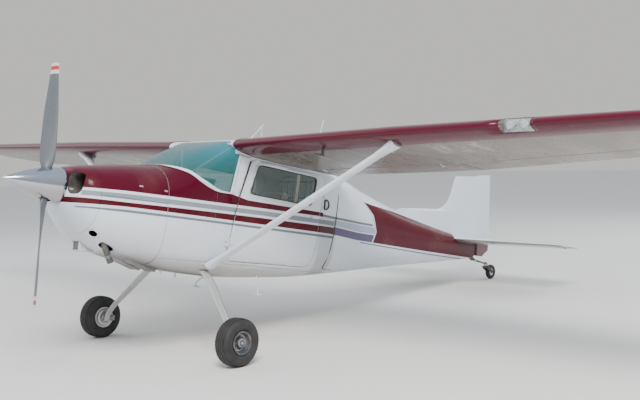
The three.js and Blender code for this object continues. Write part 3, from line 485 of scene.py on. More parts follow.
# %% Edges of the stripes: station, level
EDGES = {
    "red top": [(785, 137), (1018, 100), (2190, 98), (2220, 72), (2950, 63)],
    "red bottom": [(-860, -8), (-457, 8), (510, 25), (1228, 39), (2136, 52), (2345, 41), (2950, 32)],
    "grey top": [(-860, -34), (-457, -19), (510, -3), (1228, 11), (2340, 20)],
    "grey bottom": [(-860, -78), (-457, -70), (510, -50), (1228, -38), (2340, -33), (2900, -60)],
    "second top": [(-860, -102), (-457, -98), (510, -76), (1228, -64), (2340, -52), (2900, -60)],
    "second bottom": [(-860, -154), (-457, -139), (510, -134), (2340, -131), (2900, -157), (4600, -169)],
    "line top": [(-860, -181), (-457, -167), (510, -161), (2340, -153), (2900, -172), (4600, -196)],
    "line bottom": [(-860, -194), (-457, -192), (510, -184), (2340, -180), (2900, -186), (4600, -212)],
    "windscreen trim": [(100, 340), (260, 276), (370, 212), (470, 170), (560, 143), (640, 134), (785, 137)],
    "tail red top": [(2925, 330), (3181, 303), (3754, 281), (4420, 227), (5089, 171), (5552, 133),
                     (6080, 96)],
}
PANEL_REAR = [(-165, 3248), (-22, 3309), (62, 3274), (180, 3215), (300, 3020), (420, 2920)]


def weathered(graph, z, colour, belly=-420.0, amount=1.0):
    """Lays dust, streaks and a dark belly over a paint, and returns the colour and the roughness."""
    cloud = graph.noise(2.3, 4, 0.6)
    fine = graph.noise(26, 4, 0.6, seed=4.0)
    streak = graph.noise(3.0, 3, 0.55, stretch=(0.25, 1, 3.2), seed=9.0)
    low = z.below(belly, 190.0)
    dusty = (low * 0.34 * (cloud * 0.7 + streak * 0.6) + cloud.above(0.60, 0.12) * 0.07) * amount
    colour = graph.mix(dusty.clamped(), colour, DUST)
    # Darker and browner towards the bottom of the body.
    colour = graph.mix((z.below(belly - 170, 70.0) * (cloud * 0.5 + 0.25) * amount).clamped(), colour, TAN)
    speck = (fine.above(0.68, 0.05) * 0.10 * amount).clamped()
    colour = graph.mix(speck, colour, SOOT)
    rough = 0.20 + dusty * 0.75 + fine * 0.07
    return colour, rough, cloud, fine


def riveted(graph, along, across, pitch=32.0, radius=2.6):
    """Small round heads at a pitch along a row, where `across` is the distance from the row."""
    cell = graph.math("PINGPONG", along, pitch / 2)
    away = graph.math("SQRT", cell * cell + across * across)
    return away.below(radius, 0.9)


def fuselage_paint():
    graph = Graph("fuselage_paint", Coat_Weight=0.08, Coat_Roughness=0.05, Specular_IOR_Level=0.12)
    s, y, z = graph.place()
    edge = {name: graph.line(s, table) for name, table in EDGES.items()}
    band = lambda low, high: z.between(edge[low], edge[high])
    ahead = s.below(785.0)
    screen_foot = edge["windscreen trim"] + s.below(100.0, 20.0) * 900
    upper = z.above(edge["red bottom"]) * ahead * z.below(screen_foot)
    first = band("red bottom", "red top") * s.between(785.0, 2205.0)
    colour = graph.mix((upper + first).clamped(), WHITE, MAROON)
    rear = graph.line(z, PANEL_REAR)
    thin = z.between(edge["red bottom"] + 6, edge["red bottom"] + 34) * s.above(2205.0) * s.below(rear - 40)
    colour = graph.mix(thin, colour, DARK_LINE)
    bow = s.above(-845.0, 6.0)
    colour = graph.mix(band("grey bottom", "grey top") * s.below(2408.0) * bow, colour, GREY)
    fore = s.below(rear)
    colour = graph.mix(z.between(edge["grey bottom"] + 6, edge["red bottom"] - 4) * s.above(2408.0) * fore,
                       colour, PALE)
    second = band("second bottom", "second top")
    colour = graph.mix(second * s.below(2408.0), colour, RED)
    colour = graph.mix(z.between(edge["second bottom"], edge["grey bottom"] - 6) * s.above(2408.0) * fore,
                       colour, PURPLE)
    colour = graph.mix(band("line bottom", "line top") * bow * (1 - s.between(2408.0, 2990.0)), colour,
                       DARK_LINE)
    tail = s.above(rear + 26.0) * z.between(edge["second bottom"], edge["tail red top"])
    end = s.above(5230.0, 10.0) * z.above(-170.0 + (s - 5230) * 0.02) * z.below(edge["tail red top"])
    colour = graph.mix((tail + end).clamped(), colour, RED)
    trim = s.between(rear - 4, rear + 6) * z.between(-40.0, 330.0)
    colour = graph.mix(trim, colour, DARK_LINE)
    # Painted shade: the strip between the door's rear edge and the seam is darkened below level 72.
    shade = s.between(2160.0, 2440.0, 25.0) * z.below(72.0, 20.0) * 0.32
    colour = graph.mix(shade, colour, (0.08, 0.085, 0.09))
    colour, rough, cloud, fine = weathered(graph, z, colour)
    soot = (s.between(-430.0, 900.0, 90.0) * z.below(-585.0, 40.0) * y.size().below(340.0, 70.0)
            * (cloud * 1.2 + 0.25)).clamped() * 0.75
    colour = graph.mix(soot, colour, SOOT)
    rivets = riveted(graph, s, z + 300.0) + riveted(graph, z, s - 2452.0) + riveted(graph, z, s - 2425.0)
    for row in (3082.0, 3600.0, 4150.0, 4700.0, 5250.0):
        rivets = rivets + riveted(graph, z, s - row) + s.between(row + 9, row + 10.5, 0.5) * 0.5
    for row in (-240.0, 300.0, 700.0):
        rivets = rivets + riveted(graph, z, s - row)
    for level in (150.0, -140.0):
        rivets = rivets + riveted(graph, s, z - level) * s.above(2460.0)
    graph.bump(rivets * 1.0 + fine * 0.12 + cloud * 0.5, 0.25, 0.0012)
    return graph.done(Base_Color=colour, Roughness=rough + soot * 0.4)


# %% Wing paint
WING_LEADING = [(0, 729), (2540, 729), (5330, 842), (5430, 905), (5486, 1010)]
BAND_BELOW, BAND_ABOVE = 236.0, 190.0    # how far the maroon reaches back under and over the wing


def wing_paint():
    graph = Graph("wing_paint", Coat_Weight=0.15, Coat_Roughness=0.05, Specular_IOR_Level=0.25)
    s, y = graph.place()[:2]
    span = y.size()
    back = s - graph.line(span, WING_LEADING)
    over = graph.facing_up()
    band = over * back.below(BAND_ABOVE) + (1 - over) * back.below(BAND_BELOW)
    # Painted shade and a painted reflection of the ground: the underside is dark brown, the top white.
    skin = graph.mix(over, (0.155, 0.120, 0.095), WHITE)
    colour = graph.mix(band.clamped(), skin, MAROON)
    cloud = graph.noise(1.6, 5, 0.62)
    fine = graph.noise(24, 4, 0.6, seed=3.0)
    streak = graph.noise(2.6, 4, 0.6, stretch=(0.35, 2.6, 1), seed=6.0)
    under = (1 - over) * back.above(BAND_BELOW, 3.0)
    stain = (under * (streak.above(0.52, 0.08) * 0.45 + cloud.above(0.5, 0.2) * 0.3)).clamped()
    colour = graph.mix(stain, colour, (0.26, 0.225, 0.195))
    bare = span.between(2780.0, 3300.0, 60.0) * back.between(270.0, 640.0, 40.0) + span.above(4980.0, 60.0)
    patch = (under * bare * (streak * 0.6 + fine * 0.4).above(0.55, 0.04) * 0.6).clamped()
    colour = graph.mix(patch, colour, (0.55, 0.56, 0.56))
    spots = graph.node("TexVoronoi", Vector=graph.node("TexCoord", output="Object"), Scale=11.0)
    blotch = (under * spots.below(0.30, 0.05) * span.between(2450.0, 3450.0, 200.0)
              * back.between(640.0, 1250.0, 90.0) * 0.55).clamped()
    colour = graph.mix(blotch, colour, (0.10, 0.09, 0.08))
    seams = 0.0
    for row in (1090.0, 1650.0, 2210.0, 2880.0, 3500.0, 4100.0, 4700.0, 5240.0):
        seams = seams + riveted(graph, s, span - row, 38.0) + span.between(row + 10, row + 11.5, 0.6) * 0.4
    for row in (BAND_BELOW + 14, 640.0, 980.0):
        seams = seams + riveted(graph, span, back - row, 38.0)
    graph.bump(seams + fine * 0.1 + cloud * 0.6, 0.25, 0.0012)
    return graph.done(Base_Color=colour, Roughness=0.20 + stain * 0.3 + fine * 0.06,
                      Metallic=under * 0.35)


def tail_paint():
    graph = Graph("tail_paint", Coat_Weight=0.5, Coat_Roughness=0.07)
    s, y, z = graph.place()
    low = s.above(6085.0) * z.below(112.0, 2.0) * y.size().below(60.0)
    # Painted shade: the undersides of the stabilizer and elevators turn dark brown.
    under = (1 - graph.facing_up()) * y.size().above(70.0) * 0.85
    colour = graph.mix(under, graph.mix(low, WHITE, RED), (0.12, 0.10, 0.085))
    colour, rough, cloud, fine = weathered(graph, z, colour, belly=-900.0, amount=0.7)
    rivets = riveted(graph, z, s - 6040.0 + z * 0.076)
    for station in (5490.0, 6060.0):
        rivets = rivets + riveted(graph, y, s - station)
    skin = s.above(6200.0, 12.0) * 0.5
    ribs = graph.math("PINGPONG", y + z, 38.0).above(17.0, 14.0) * skin
    graph.bump(rivets + ribs + fine * 0.1 + cloud * 0.5, 0.3, 0.0016)
    return graph.done(Base_Color=colour, Roughness=rough)


# %% [markdown]
# ## The other materials
# Each is a short function with the detail its surface shows: a swirl of polishing on the spinner,
# stone chips on the blades, weave in the seats, dust in the tread.

# %% Plain painted and bare metals
def metal(name, colour, rough=0.35, metallic=1.0, dirt=0.3, grain=(1, 1, 1), coat=0.0):
    graph = Graph(name, Coat_Weight=coat)
    cloud = graph.noise(7, 4, 0.6)
    fine = graph.noise(60, 3, 0.6, stretch=grain, seed=2.0)
    dusty = (cloud.above(0.52, 0.14) * dirt).clamped()
    colour = graph.mix(dusty, graph.mix(fine * 0.25, colour, tuple(c * 0.7 for c in colour)), DUST)
    graph.bump(fine * 0.5 + cloud * 0.4, 0.25, 0.0006)
    return graph.done(Base_Color=colour, Roughness=rough + dusty * 0.5 + fine * 0.08,
                      Metallic=metallic * (1 - dusty))


def painted(name, colour, rough=0.3, dirt=0.35):
    return metal(name, colour, rough, 0.0, dirt, coat=0.35)


# %% Spinner and wheels
def spinner_metal():
    """Polished metal with a painted reflection, cool sky above and warm ground below, and rings left by the
    buffing.
    """
    graph = Graph("spinner_metal", Metallic=1.0)
    z = graph.place()[2]
    fine = graph.noise(70, 3, 0.6, stretch=(4, 0.3, 0.3))
    cloud = graph.noise(5, 4, 0.6, seed=8.0)
    # Painted reflection: cool sky colour above the thrust line, warm ground colour below it.
    tone = graph.mix(z.above(-20.0, 60.0), (0.40, 0.37, 0.37), (0.46, 0.53, 0.64))
    graph.bump(fine + cloud * 0.4, 0.12, 0.0005)
    return graph.done(Base_Color=graph.mix(cloud * 0.35, tone, (0.62, 0.65, 0.70)),
                      Roughness=0.10 + fine * 0.08)


def foil():
    """Crumpled bright sheet."""
    graph = Graph("crumpled_foil", Metallic=0.9)
    spot = graph.node("TexCoord", output="Object")
    cells = graph.node("TexVoronoi", {"feature": "F1"}, Vector=spot, Scale=34.0)
    cloud = graph.noise(30, 4, 0.6)
    graph.bump(cells + cloud * 0.6, 0.9, 0.008)
    return graph.done(Base_Color=graph.mix(cloud, (0.50, 0.52, 0.53), (0.82, 0.83, 0.83)),
                      Roughness=0.22 + cloud * 0.2)


def wheel_enamel():
    """White inside; outside a dark centre between two pale rings."""
    graph = Graph("wheel_enamel", Coat_Weight=0.2)
    s, y, z = graph.place()
    s, z = s - AXLE[0], z - AXLE[2]
    reach = graph.math("SQRT", s * s + z * z)
    cloud = graph.noise(9, 4, 0.6)
    outer = y.size().above(AXLE[1] + 2.0) * reach.below(400.0)
    rings = (reach.between(68.0, 78.0) + reach.between(33.0, 38.0) + reach.below(12.0)).clamped()
    face = graph.mix(rings, (0.055, 0.065, 0.08), (0.34, 0.37, 0.42))
    colour = graph.mix(outer, (0.66, 0.68, 0.70), face)
    colour = graph.mix(cloud.above(0.56, 0.1) * 0.35, colour, DUST)
    graph.bump(cloud, 0.2, 0.0006)
    return graph.done(Base_Color=colour, Roughness=0.35 + cloud * 0.15)


# %% Propeller blades with a white, red and white tip
def blade_paint():
    graph = Graph("blade_paint")
    y, z = graph.place()[1:]
    reach = graph.math("SQRT", y * y + z * z)
    colour = graph.mix(reach.above(1040.0), (0.105, 0.12, 0.135), (0.72, 0.70, 0.70))
    colour = graph.mix(reach.between(1078.0, 1116.0), colour, (0.45, 0.035, 0.02))
    chip = graph.noise(55, 3, 0.7, seed=5.0)
    cloud = graph.noise(5, 4, 0.6, stretch=(1, 1, 0.3))
    worn = (chip.above(0.66, 0.03) * reach.above(500.0, 300.0) * 0.6).clamped()
    colour = graph.mix(worn, colour, (0.42, 0.42, 0.42))
    colour = graph.mix(cloud * 0.3, colour, (0.20, 0.21, 0.22))
    graph.bump(chip * 0.4, 0.2, 0.0005)
    return graph.done(Base_Color=colour, Roughness=0.34 + cloud * 0.15,
                      Metallic=(worn * 0.8 + 0.12).clamped())


# %% Clear sheet, teal in the windscreen
def clear_sheet(name, colour, alpha, band=0.0):
    """Clear plastic, deeper and bluer towards the top where a band is asked for: partly a tinted sun band,
    partly a painted reflection of the sky.
    """
    graph = Graph(name, Roughness=0.04, IOR=1.49, Coat_Weight=0.4)
    z = graph.place()[2]
    # Painted reflection: the band deepens the tint and the veil towards the top, partly a sun band's tint and
    # partly the sky's reflection.
    high = ((z - 330.0) * (1 / 320.0)).clamped() * band
    haze = graph.noise(4, 4, 0.6)
    scratch = graph.noise(40, 2, 0.7, stretch=(1, 1, 6), seed=7.0)
    veil = (haze * 0.10 + scratch.above(0.70, 0.04) * 0.08 + high * 0.14 + alpha).clamped()
    tint = graph.mix(haze * 0.3, colour, tuple(min(1, c * 1.4) for c in colour))
    tint = graph.mix(high, tint, (0.04, 0.27, 0.36))
    return graph.done(Base_Color=tint, Alpha=veil)


# %% Rubber, cloth, carpet and trim
def rubber(name, colour=(0.018, 0.018, 0.019), dust=0.5):
    graph = Graph(name)
    cloud = graph.noise(9, 5, 0.62)
    fine = graph.noise(120, 3, 0.6, seed=3.0)
    dusty = (cloud.above(0.5, 0.15) * dust).clamped()
    colour = graph.mix(dusty, colour, (0.16, 0.13, 0.10))
    graph.bump(fine * 0.7 + cloud * 0.3, 0.35, 0.0008)
    return graph.done(Base_Color=colour, Roughness=0.72 + dusty * 0.2)


def woven(name, colour, scale=260.0):
    graph = Graph(name, Roughness=0.95)
    spot = graph.node("TexCoord", output="Object")
    warp = graph.node("TexWave", {"wave_type": "BANDS", "bands_direction": "Y"}, 1, Vector=spot, Scale=scale)
    weft = graph.node("TexWave", {"wave_type": "BANDS", "bands_direction": "X"}, 1, Vector=spot, Scale=scale)
    cloud = graph.noise(6, 4, 0.6)
    thread = warp * 0.5 + weft * 0.5
    tint = graph.mix(thread * 0.35 + cloud * 0.25, colour, tuple(c * 0.55 for c in colour))
    graph.bump(thread, 0.4, 0.0006)
    return graph.done(Base_Color=tint)


def grained(name, colour, rough=0.6):
    graph = Graph(name)
    cells = graph.node("TexVoronoi", Vector=graph.node("TexCoord", output="Object"), Scale=420.0)
    cloud = graph.noise(6, 4, 0.6)
    tint = graph.mix(cloud * 0.4, colour, tuple(c * 0.6 for c in colour))
    graph.bump(cells, 0.25, 0.0004)
    return graph.done(Base_Color=tint, Roughness=rough + cloud * 0.15)


# %% Make them all
PAINT = {
    "fuselage": fuselage_paint(),
    "wing": wing_paint(),
    "tail": tail_paint(),
    "white": painted("white_enamel", WHITE, 0.26, 0.22),
    "gear": metal("gear_leg_paint", (0.55, 0.56, 0.58), 0.30, 0.35, 0.35),
    "polished": metal("polished_aluminium", (0.66, 0.69, 0.74), 0.10, 1.0, 0.05, (0.2, 3, 3)),
    "spinner": spinner_metal(),
    # Near-black duct walls: painted shade inside the inlets.
    "duct": painted("duct_grey", (0.012, 0.012, 0.013), 0.7, 0.3),
    "foil": foil(),
    "bare": metal("bare_aluminium", (0.62, 0.63, 0.64), 0.32, 1.0, 0.25),
    "rim": wheel_enamel(),
    "steel": metal("steel", (0.33, 0.33, 0.34), 0.38, 1.0, 0.3),
    "engine": metal("engine_castings", (0.10, 0.10, 0.105), 0.5, 0.7, 0.4),
    "exhaust": metal("heated_steel", (0.13, 0.135, 0.13), 0.5, 0.9, 0.25),
    "filter": metal("intake_filter", (0.30, 0.36, 0.44), 0.6, 0.2, 0.2),
    "black": painted("black_enamel", (0.02, 0.02, 0.022), 0.4, 0.2),
    "blade": blade_paint(),
    "windscreen": clear_sheet("teal_windscreen", (0.03, 0.17, 0.17), 0.38, band=1.0),
    "window": clear_sheet("side_window", (0.30, 0.40, 0.40), 0.12),
    "tyre": rubber("tyre_rubber", (0.014, 0.016, 0.019), 0.16),
    "seal": rubber("rubber_seal", (0.03, 0.03, 0.032), 0.3),
    "cloth": woven("seat_cloth", (0.34, 0.30, 0.26)),
    "carpet": woven("carpet", (0.10, 0.09, 0.085), 420.0),
    "lining": grained("headliner", (0.48, 0.47, 0.44), 0.8),
    "panel": grained("panel_finish", (0.05, 0.05, 0.055)),
    "lamp": clear_sheet("lamp_glass", (0.75, 0.78, 0.80), 0.45),
    "red_glass": clear_sheet("red_glass", (0.45, 0.02, 0.015), 0.8),
    "strap": woven("belt_webbing", (0.55, 0.50, 0.40), 520.0),
}
print(f"{len(PAINT)} materials")
# %% [markdown]
# ## The fuselage's form
# The fuselage is a run of rounded sections. Each row gives a section's size and how square its upper
# and lower halves are, from 2 for an ellipse to 13 for the boxy cabin. A cubic line that never
# overshoots joins the rows, so the skin is smooth both ways and every panel is cut from one form.

# %% Sections of the fuselage
# Station, half width, top, bottom, level of the greatest width, squareness above and below it
BODY = np.array([
    (-885, 215, 152, -190, -10, 2.3, 2.2),
    (-850, 330, 174, -245, -20, 2.4, 2.2),
    (-790, 405, 197, -335, -40, 2.5, 2.2),
    (-700, 445, 218, -440, -60, 2.6, 2.3),
    (-560, 478, 243, -545, -80, 2.7, 2.4),
    (-340, 508, 280, -612, -100, 2.8, 2.8),
    (0, 531, 325, -672, -100, 2.9, 3.4),
    (110, 533, 345, -690, -90, 3.0, 3.6),
    (300, 533, 455, -708, -80, 3.6, 4.0),
    (500, 533, 572, -722, -60, 4.6, 4.3),
    (700, 533, 662, -733, -40, 7, 4.5),
    (785, 533, 695, -736, -30, 11, 4.5),
    (1000, 533, 740, -734, -20, 13, 4.5),
    (1400, 533, 733, -714, 0, 13, 4.5),
    (1900, 530, 665, -682, 0, 13, 4.4),
    (2360, 515, 592, -634, 0, 10, 4.0),
    (3082, 424, 480, -548, -20, 4.2, 3.2),
    (3900, 322, 345, -444, -30, 2.9, 2.6),
    (5281, 150, 160, -272, -30, 2.4, 2.3),
    (6075, 46, 96, -165, -20, 2.4, 2.3),
], float)
TURN = circle(168, 0.5)


def eased(table, x):
    """A table's other columns at x, along a smooth line that never overshoots its rows."""
    step = np.diff(table[:, 0])[:, None]
    slope = np.diff(table[:, 1:], axis=0) / step + 1e-12
    near, far = 2 * step[1:] + step[:-1], step[1:] + 2 * step[:-1]
    bend = np.where(slope[1:] * slope[:-1] > 0, (near + far) / (near / slope[:-1] + far / slope[1:]), 0)
    lean = np.vstack([slope[:1], bend, slope[-1:]])
    i = int(np.clip(np.searchsorted(table[:, 0], x) - 1, 0, len(table) - 2))
    h = step[i, 0]
    t = (x - table[i, 0]) / h
    return ((2 * t**3 - 3 * t**2 + 1) * table[i, 1:] + (t**3 - 2 * t**2 + t) * h * lean[i]
            + (3 * t**2 - 2 * t**3) * table[i + 1, 1:] + (t**3 - t**2) * h * lean[i + 1])


def body_ring(s, out=0.0):
    half, top, bottom, middle, above, below = eased(BODY, s)
    c, d = np.cos(TURN), np.sin(TURN)
    power = np.where(d > 0, above, below)
    reach = np.where(d > 0, top - middle, middle - bottom) + out
    r = (np.abs(c / (half + out)) ** power + np.abs(d / reach) ** power) ** (-1 / power)
    return np.stack([np.full_like(r, s), r * c, middle + r * d], 1)


def body(s0, s1, out=0.0, step=50.0):
    """The fuselage's solid form between two stations, moved out by a distance."""
    stations = np.linspace(s0, s1, max(2, round((s1 - s0) / step) + 1))
    return Shape().loft([body_ring(s, out) for s in stations])


def shell(s0, s1, wall, out=0.0, step=50.0):
    """A hollow skin, open at both ends."""
    made = body(s0, s1, out, step).mesh("shell")
    return carve(made, body(s0 - 1, s1 + 1, out - wall, step))


def skin_y(s, z, out=0.0):
    """Half the skin's width at a station and level."""
    half, top, bottom, middle, above, below = eased(BODY, s)
    power, reach = (above, top - middle) if z > middle else (below, middle - bottom)
    return (half + out) * max(0.0, 1 - abs((z - middle) / (reach + out)) ** power) ** (1 / power)


def skin_z(s, y, out=0.0, under=False):
    """The level of the skin over, or under, a y."""
    half, top, bottom, middle, above, below = eased(BODY, s)
    power, reach = (below, middle - bottom) if under else (above, top - middle)
    rise = (reach + out) * max(0.0, 1 - abs(y / (half + out)) ** power) ** (1 / power)
    return middle - rise if under else middle + rise


def on_side(s, z, side=1, out=0.0):
    """A point of the skin at a station and level, and the way that it faces."""
    point = np.array((s, side * skin_y(s, z, out), z))
    along = np.array((s + 2, side * skin_y(s + 2, z, out), z)) - point
    up = np.array((s, side * skin_y(s, z + 2, out), z + 2)) - point
    return point, unit(np.cross(along, up)) * -side


def on_top(s, y, out=0.0, under=False):
    """A point of the skin over, or under, a station and y, and the way that it faces."""
    point = np.array((s, y, skin_z(s, y, out, under)))
    along = np.array((s + 2, y, skin_z(s + 2, y, out, under))) - point
    across = np.array((s, y + 2, skin_z(s, y + 2, out, under))) - point
    facing = unit(np.cross(along, across))
    return point, facing * (-1 if (facing[2] > 0) == under else 1)


def mirrored_piece(made, name):
    """A copy of a piece on the other side of the aircraft."""
    other = linked(name, made.data.copy())
    other.data.transform(LEVEL @ Matrix.Scale(-1, 4, (0, 1, 0)) @ LEVEL.inverted())
    other.data.flip_normals()
    return soften(other, 35)


def lined(made, depth=8.0):
    """Gives the faces that lie deeper than the outer skin the cabin's lining."""
    made.data.materials.append(PAINT["lining"])
    back = LEVEL.inverted()
    for face in made.data.polygons:
        x, y, z = back @ face.center
        if abs(y) < skin_y(-x, z, -depth):
            face.material_index = 1
    return made


def heads(places, radius=5.0, height=1.6, sides=10):
    """Low round fastener heads, each with a slot, at points with the way that they face."""
    made = Shape()
    for point, facing in places:
        profile = [(0.01, -2), (radius, -2), (radius, height * 0.5), (radius * 0.72, height), (0.01, height)]
        made.turned(profile, point, facing, sides)
    return made


check = [abs(skin_y(s, body_ring(s)[20][2]) - body_ring(s)[20][1]) for s in (-600, 400, 1500, 4000)]
print(f"The skin's two formulas agree to {max(check):.3f} mm")

# %% [markdown]
# ## Nose bowl and cowling
# The bowl at the front carries the two cooling inlets. Behind it the cowling is split at one level,
# with a row of fasteners along the split and round the firewall. A slot for the exhaust, an oval
# hole and the openings for the cowl flaps are cut in the lower half, and the ducts behind the
# inlets keep the view in dark and solid.

# %% Nose bowl
SEAM = 1.2                         # half the gap between two panels
SKIN = 5.0
COWL_SPLIT = -62
INLET = {"y": 250, "z": 30, "half": 100, "high": 102, "square": 2.8}


def inlet_ring(s, side, grow):
    turn = circle(40, 0.5)
    c, d = np.cos(turn), np.sin(turn)
    power = 2 / INLET["square"]
    y = side * (INLET["y"] + (INLET["half"] + grow) * np.sign(c) * np.abs(c) ** power)
    z = INLET["z"] + (INLET["high"] + grow) * np.sign(d) * np.abs(d) ** power
    return np.stack([np.full_like(y, s), y, z], 1)


def inlet(side, grow=0.0, end=-700):
    """The inlet's opening, narrowing from the front to a station."""
    return Shape().loft([inlet_ring(-1000, side, 10 + grow), inlet_ring(end, side, -10 + grow)])


def nose_bowl():
    front = [(-890, -22), (-888.5, -10), (-886, -3)]
    rings = [body_ring(-885, out) + (s + 885, 0, 0) for s, out in front]
    rings += [body_ring(s) for s in np.concatenate([np.linspace(-884, -850, 8),
                                                    np.linspace(-840, -700 - SEAM, 12)])]
    made = Shape().loft(rings).mesh("nose bowl")
    carve(made, body(-878, -690, -SKIN, 12))
    carve(made, Shape().tube([(-1000, 0, 0), (-700, 0, 0)], 124, 72))
    for side in (1, -1):
        carve(made, inlet(side))
    return finished(made, "fuselage", "nose_bowl")


def inlet_ducts():
    """The walls behind each inlet, trimmed to lie just inside the bowl."""
    for side in (1, -1):
        duct = inlet(side, 4.0, -640).mesh("inlet duct")
        carve(duct, inlet(side, 0.3, -600))
        carve(duct, body(-882, -600, -1.5, 20), "INTERSECT")
        # The walls are real; their near-black colour is painted shade inside the inlets.
        finished(duct, "duct")


nose_bowl()
inlet_ducts()

# %% Cowling, upper and lower
COWL_FLAP = {"y": (40, 220), "front": (-150, -630), "rear": (160, -728), "lip": 46}


def cowling():
    whole = shell(-700 + SEAM, -2 * SEAM, SKIN, step=35)
    upper = linked("cowling upper", whole.data.copy())
    whole.name = "cowling_lower"
    carve(upper, box((-900, 50), (-900, 900), (COWL_SPLIT + SEAM, 900)), "INTERSECT")
    carve(whole, box((-900, 50), (-900, 900), (-900, COWL_SPLIT - SEAM)), "INTERSECT")
    (y0, y1), front = COWL_FLAP["y"], COWL_FLAP["front"]
    for side in (1, -1):
        carve(whole, box((front[0] - 12, 60), sorted((side * (y0 - 5), side * (y1 + 5))), (-900, -520)))
    slot = rounded([(-545, 222), (-404, 222), (-404, 308), (-545, 308)], 36, 6)
    carve(whole, Shape().loft([[(s, y, z) for s, y in slot] for z in (-900, -430)]))
    carve(whole, Shape().tube([(-690, 365, -500), (-620, 250, -370)], 42, 40))
    finished(upper, "fuselage", "cowling_upper")
    finished(whole, "fuselage", "cowling_lower")


def cowl_fasteners():
    rows = []
    for side in (1, -1):
        for s in np.linspace(-660, -40, 9):
            rows.append(on_side(s, COWL_SPLIT + 20, side))
            rows.append(on_side(s, COWL_SPLIT - 20, side))
        for z in np.linspace(-560, 250, 12):
            rows.append(on_side(-18, z, side))
        for z in np.linspace(-330, 170, 8):
            rows.append(on_side(-718, z, side))
    for y in np.linspace(-300, 300, 7):
        rows.append(on_top(-18, y))
        rows.append(on_top(-718, y * 0.8))
    finished(heads(rows, 5.0, 1.2).mesh("cowling fasteners"), "fuselage")


def hole_rim():
    """A rolled edge where the oval hole leaves the skin."""
    axis = unit((70, -115, 130))
    side = unit(np.cross(axis, (0, 0, 1)))
    other = np.cross(axis, side)
    centre = np.array((-690, 365, -500), float)
    loop = []
    for a in np.linspace(0, 2 * np.pi, 41):
        spoke = 42 * (math.cos(a) * side + math.sin(a) * other)
        start = centre + spoke
        for step in np.arange(0, 190, 1.0):
            p = start + axis * step
            if abs(p[1]) < skin_y(p[0], p[2]):
                break
        loop.append(p)
    finished(Shape().tube(loop, 3.2, 8).mesh("hole rim"), "white")


cowling()
cowl_fasteners()
hole_rim()
print("Nose bowl and cowling made")

# %% [markdown]
# ## Cabin walls, roof and tailcone
# The cabin's skins are as thick as the whole wall, so the faces inside take the lining. The door is
# cut from the same form as the wall round it, and a thin gap shows between the two.

# %% Outlines from the side
WINDSCREEN = [(112, 345), (260, 300), (370, 240), (560, 165), (640, 142), (776, 136), (862, 590),
              (858, 650), (786, 690), (785, 900), (112, 900)]
DOOR = rounded([(822, -520), (880, -553), (2010, -540), (2075, -500), (2114, -412), (2136, -126),
                (2142, 93), (2187, 418), (2168, 494), (2103, 522), (1074, 541), (1013, 520), (894, 109),
                (812, -449)], 24, 4)
WINDOW = rounded([(1035, 185), (1060, 166), (1960, 150), (1995, 180), (2040, 440), (2015, 478), (1150, 492),
                  (1115, 470)], 55, 7)
FLOOR, ROOF, WALL, CABIN_END = -590, 560, 43, 2440
DOOR_HINGE = {"s": 790, "y": 547, "levels": (70, -370)}


def both(outline):
    return Shape().slab(outline, (-700, 700))


# %% Walls, roof and floor
def forward_fuselage():
    made = shell(2 * SEAM, 600 - SEAM / 2, WALL, step=30)
    made.name = "forward_skin"
    carve(made, box((-10, 700), (-900, 900), (FLOOR + SEAM, 900)), "INTERSECT")
    carve(made, both(WINDSCREEN))
    lined(finished(made, "fuselage", "forward_fuselage"))


def cabin_sides():
    made = shell(600 + SEAM / 2, CABIN_END - SEAM, WALL, step=45)
    carve(made, box((500, 2500), (0, 900), (FLOOR + SEAM, ROOF - SEAM / 2)), "INTERSECT")
    carve(made, both(WINDSCREEN))
    carve(made, both(grown(DOOR, 5)))
    made.name = "cabin_side_left_skin"
    other = mirrored_piece(made, "cabin side right skin")
    for piece, node in ((made, "cabin_side_left"), (other, "cabin_side_right")):
        lined(finished(piece, "fuselage", node))


def cabin_roof():
    made = shell(785, CABIN_END - SEAM, WALL, step=45)
    made.name = "roof_skin"
    carve(made, box((500, 2500), (-900, 900), (ROOF + SEAM / 2, 900)), "INTERSECT")
    lined(finished(made, "fuselage", "cabin_roof"))


def belly():
    made = body(2 * SEAM + 8, CABIN_END - SEAM, 0, 45).mesh("belly")
    carve(made, box((-10, 2500), (-900, 900), (-900, FLOOR - SEAM / 2)), "INTERSECT")
    (y0, y1), rear = COWL_FLAP["y"], COWL_FLAP["rear"]
    for side in (1, -1):
        carve(made, box((-10, rear[0] + 20), sorted((side * (y0 - 5), side * (y1 + 5))), (-900, -625)))
    finished(made, "fuselage")


def tailcone():
    made = body(CABIN_END + SEAM, 6075, 0, 55).mesh("tailcone")
    carve(made, box((5428, 6200), (-400, 400), (74, 400)))
    finished(made, "fuselage", "tailcone")


forward_fuselage()
cabin_sides()
cabin_roof()
belly()
tailcone()
print("Cabin walls, roof, belly and tailcone made")

# %% Doors, frames and glass
def on_both_doors(made, look, node=None, lining=False):
    """Finishes a piece of the port door and its mirror on the starboard door."""
    for piece, side in ((made, "left"), (mirrored_piece(made, made.name + " right"), "right")):
        nodes = [f"{node}_{side}"] if node else []
        finished(piece, look, *nodes, body=f"door_{side}")
        if lining:
            lined(piece)


def ring_on_skin(outline, inner, outer, low, high, name):
    """A frame that follows the skin between two outlines, from one depth to another."""
    s = [p[0] for p in outline]
    made = body(min(s) - 80, max(s) + 80, high, 30).mesh(name)
    carve(made, body(min(s) - 90, max(s) + 90, low, 30))
    carve(made, Shape().slab(grown(outline, outer), (0, 800)), "INTERSECT")
    carve(made, Shape().slab(grown(outline, inner), (-50, 850)))
    return made


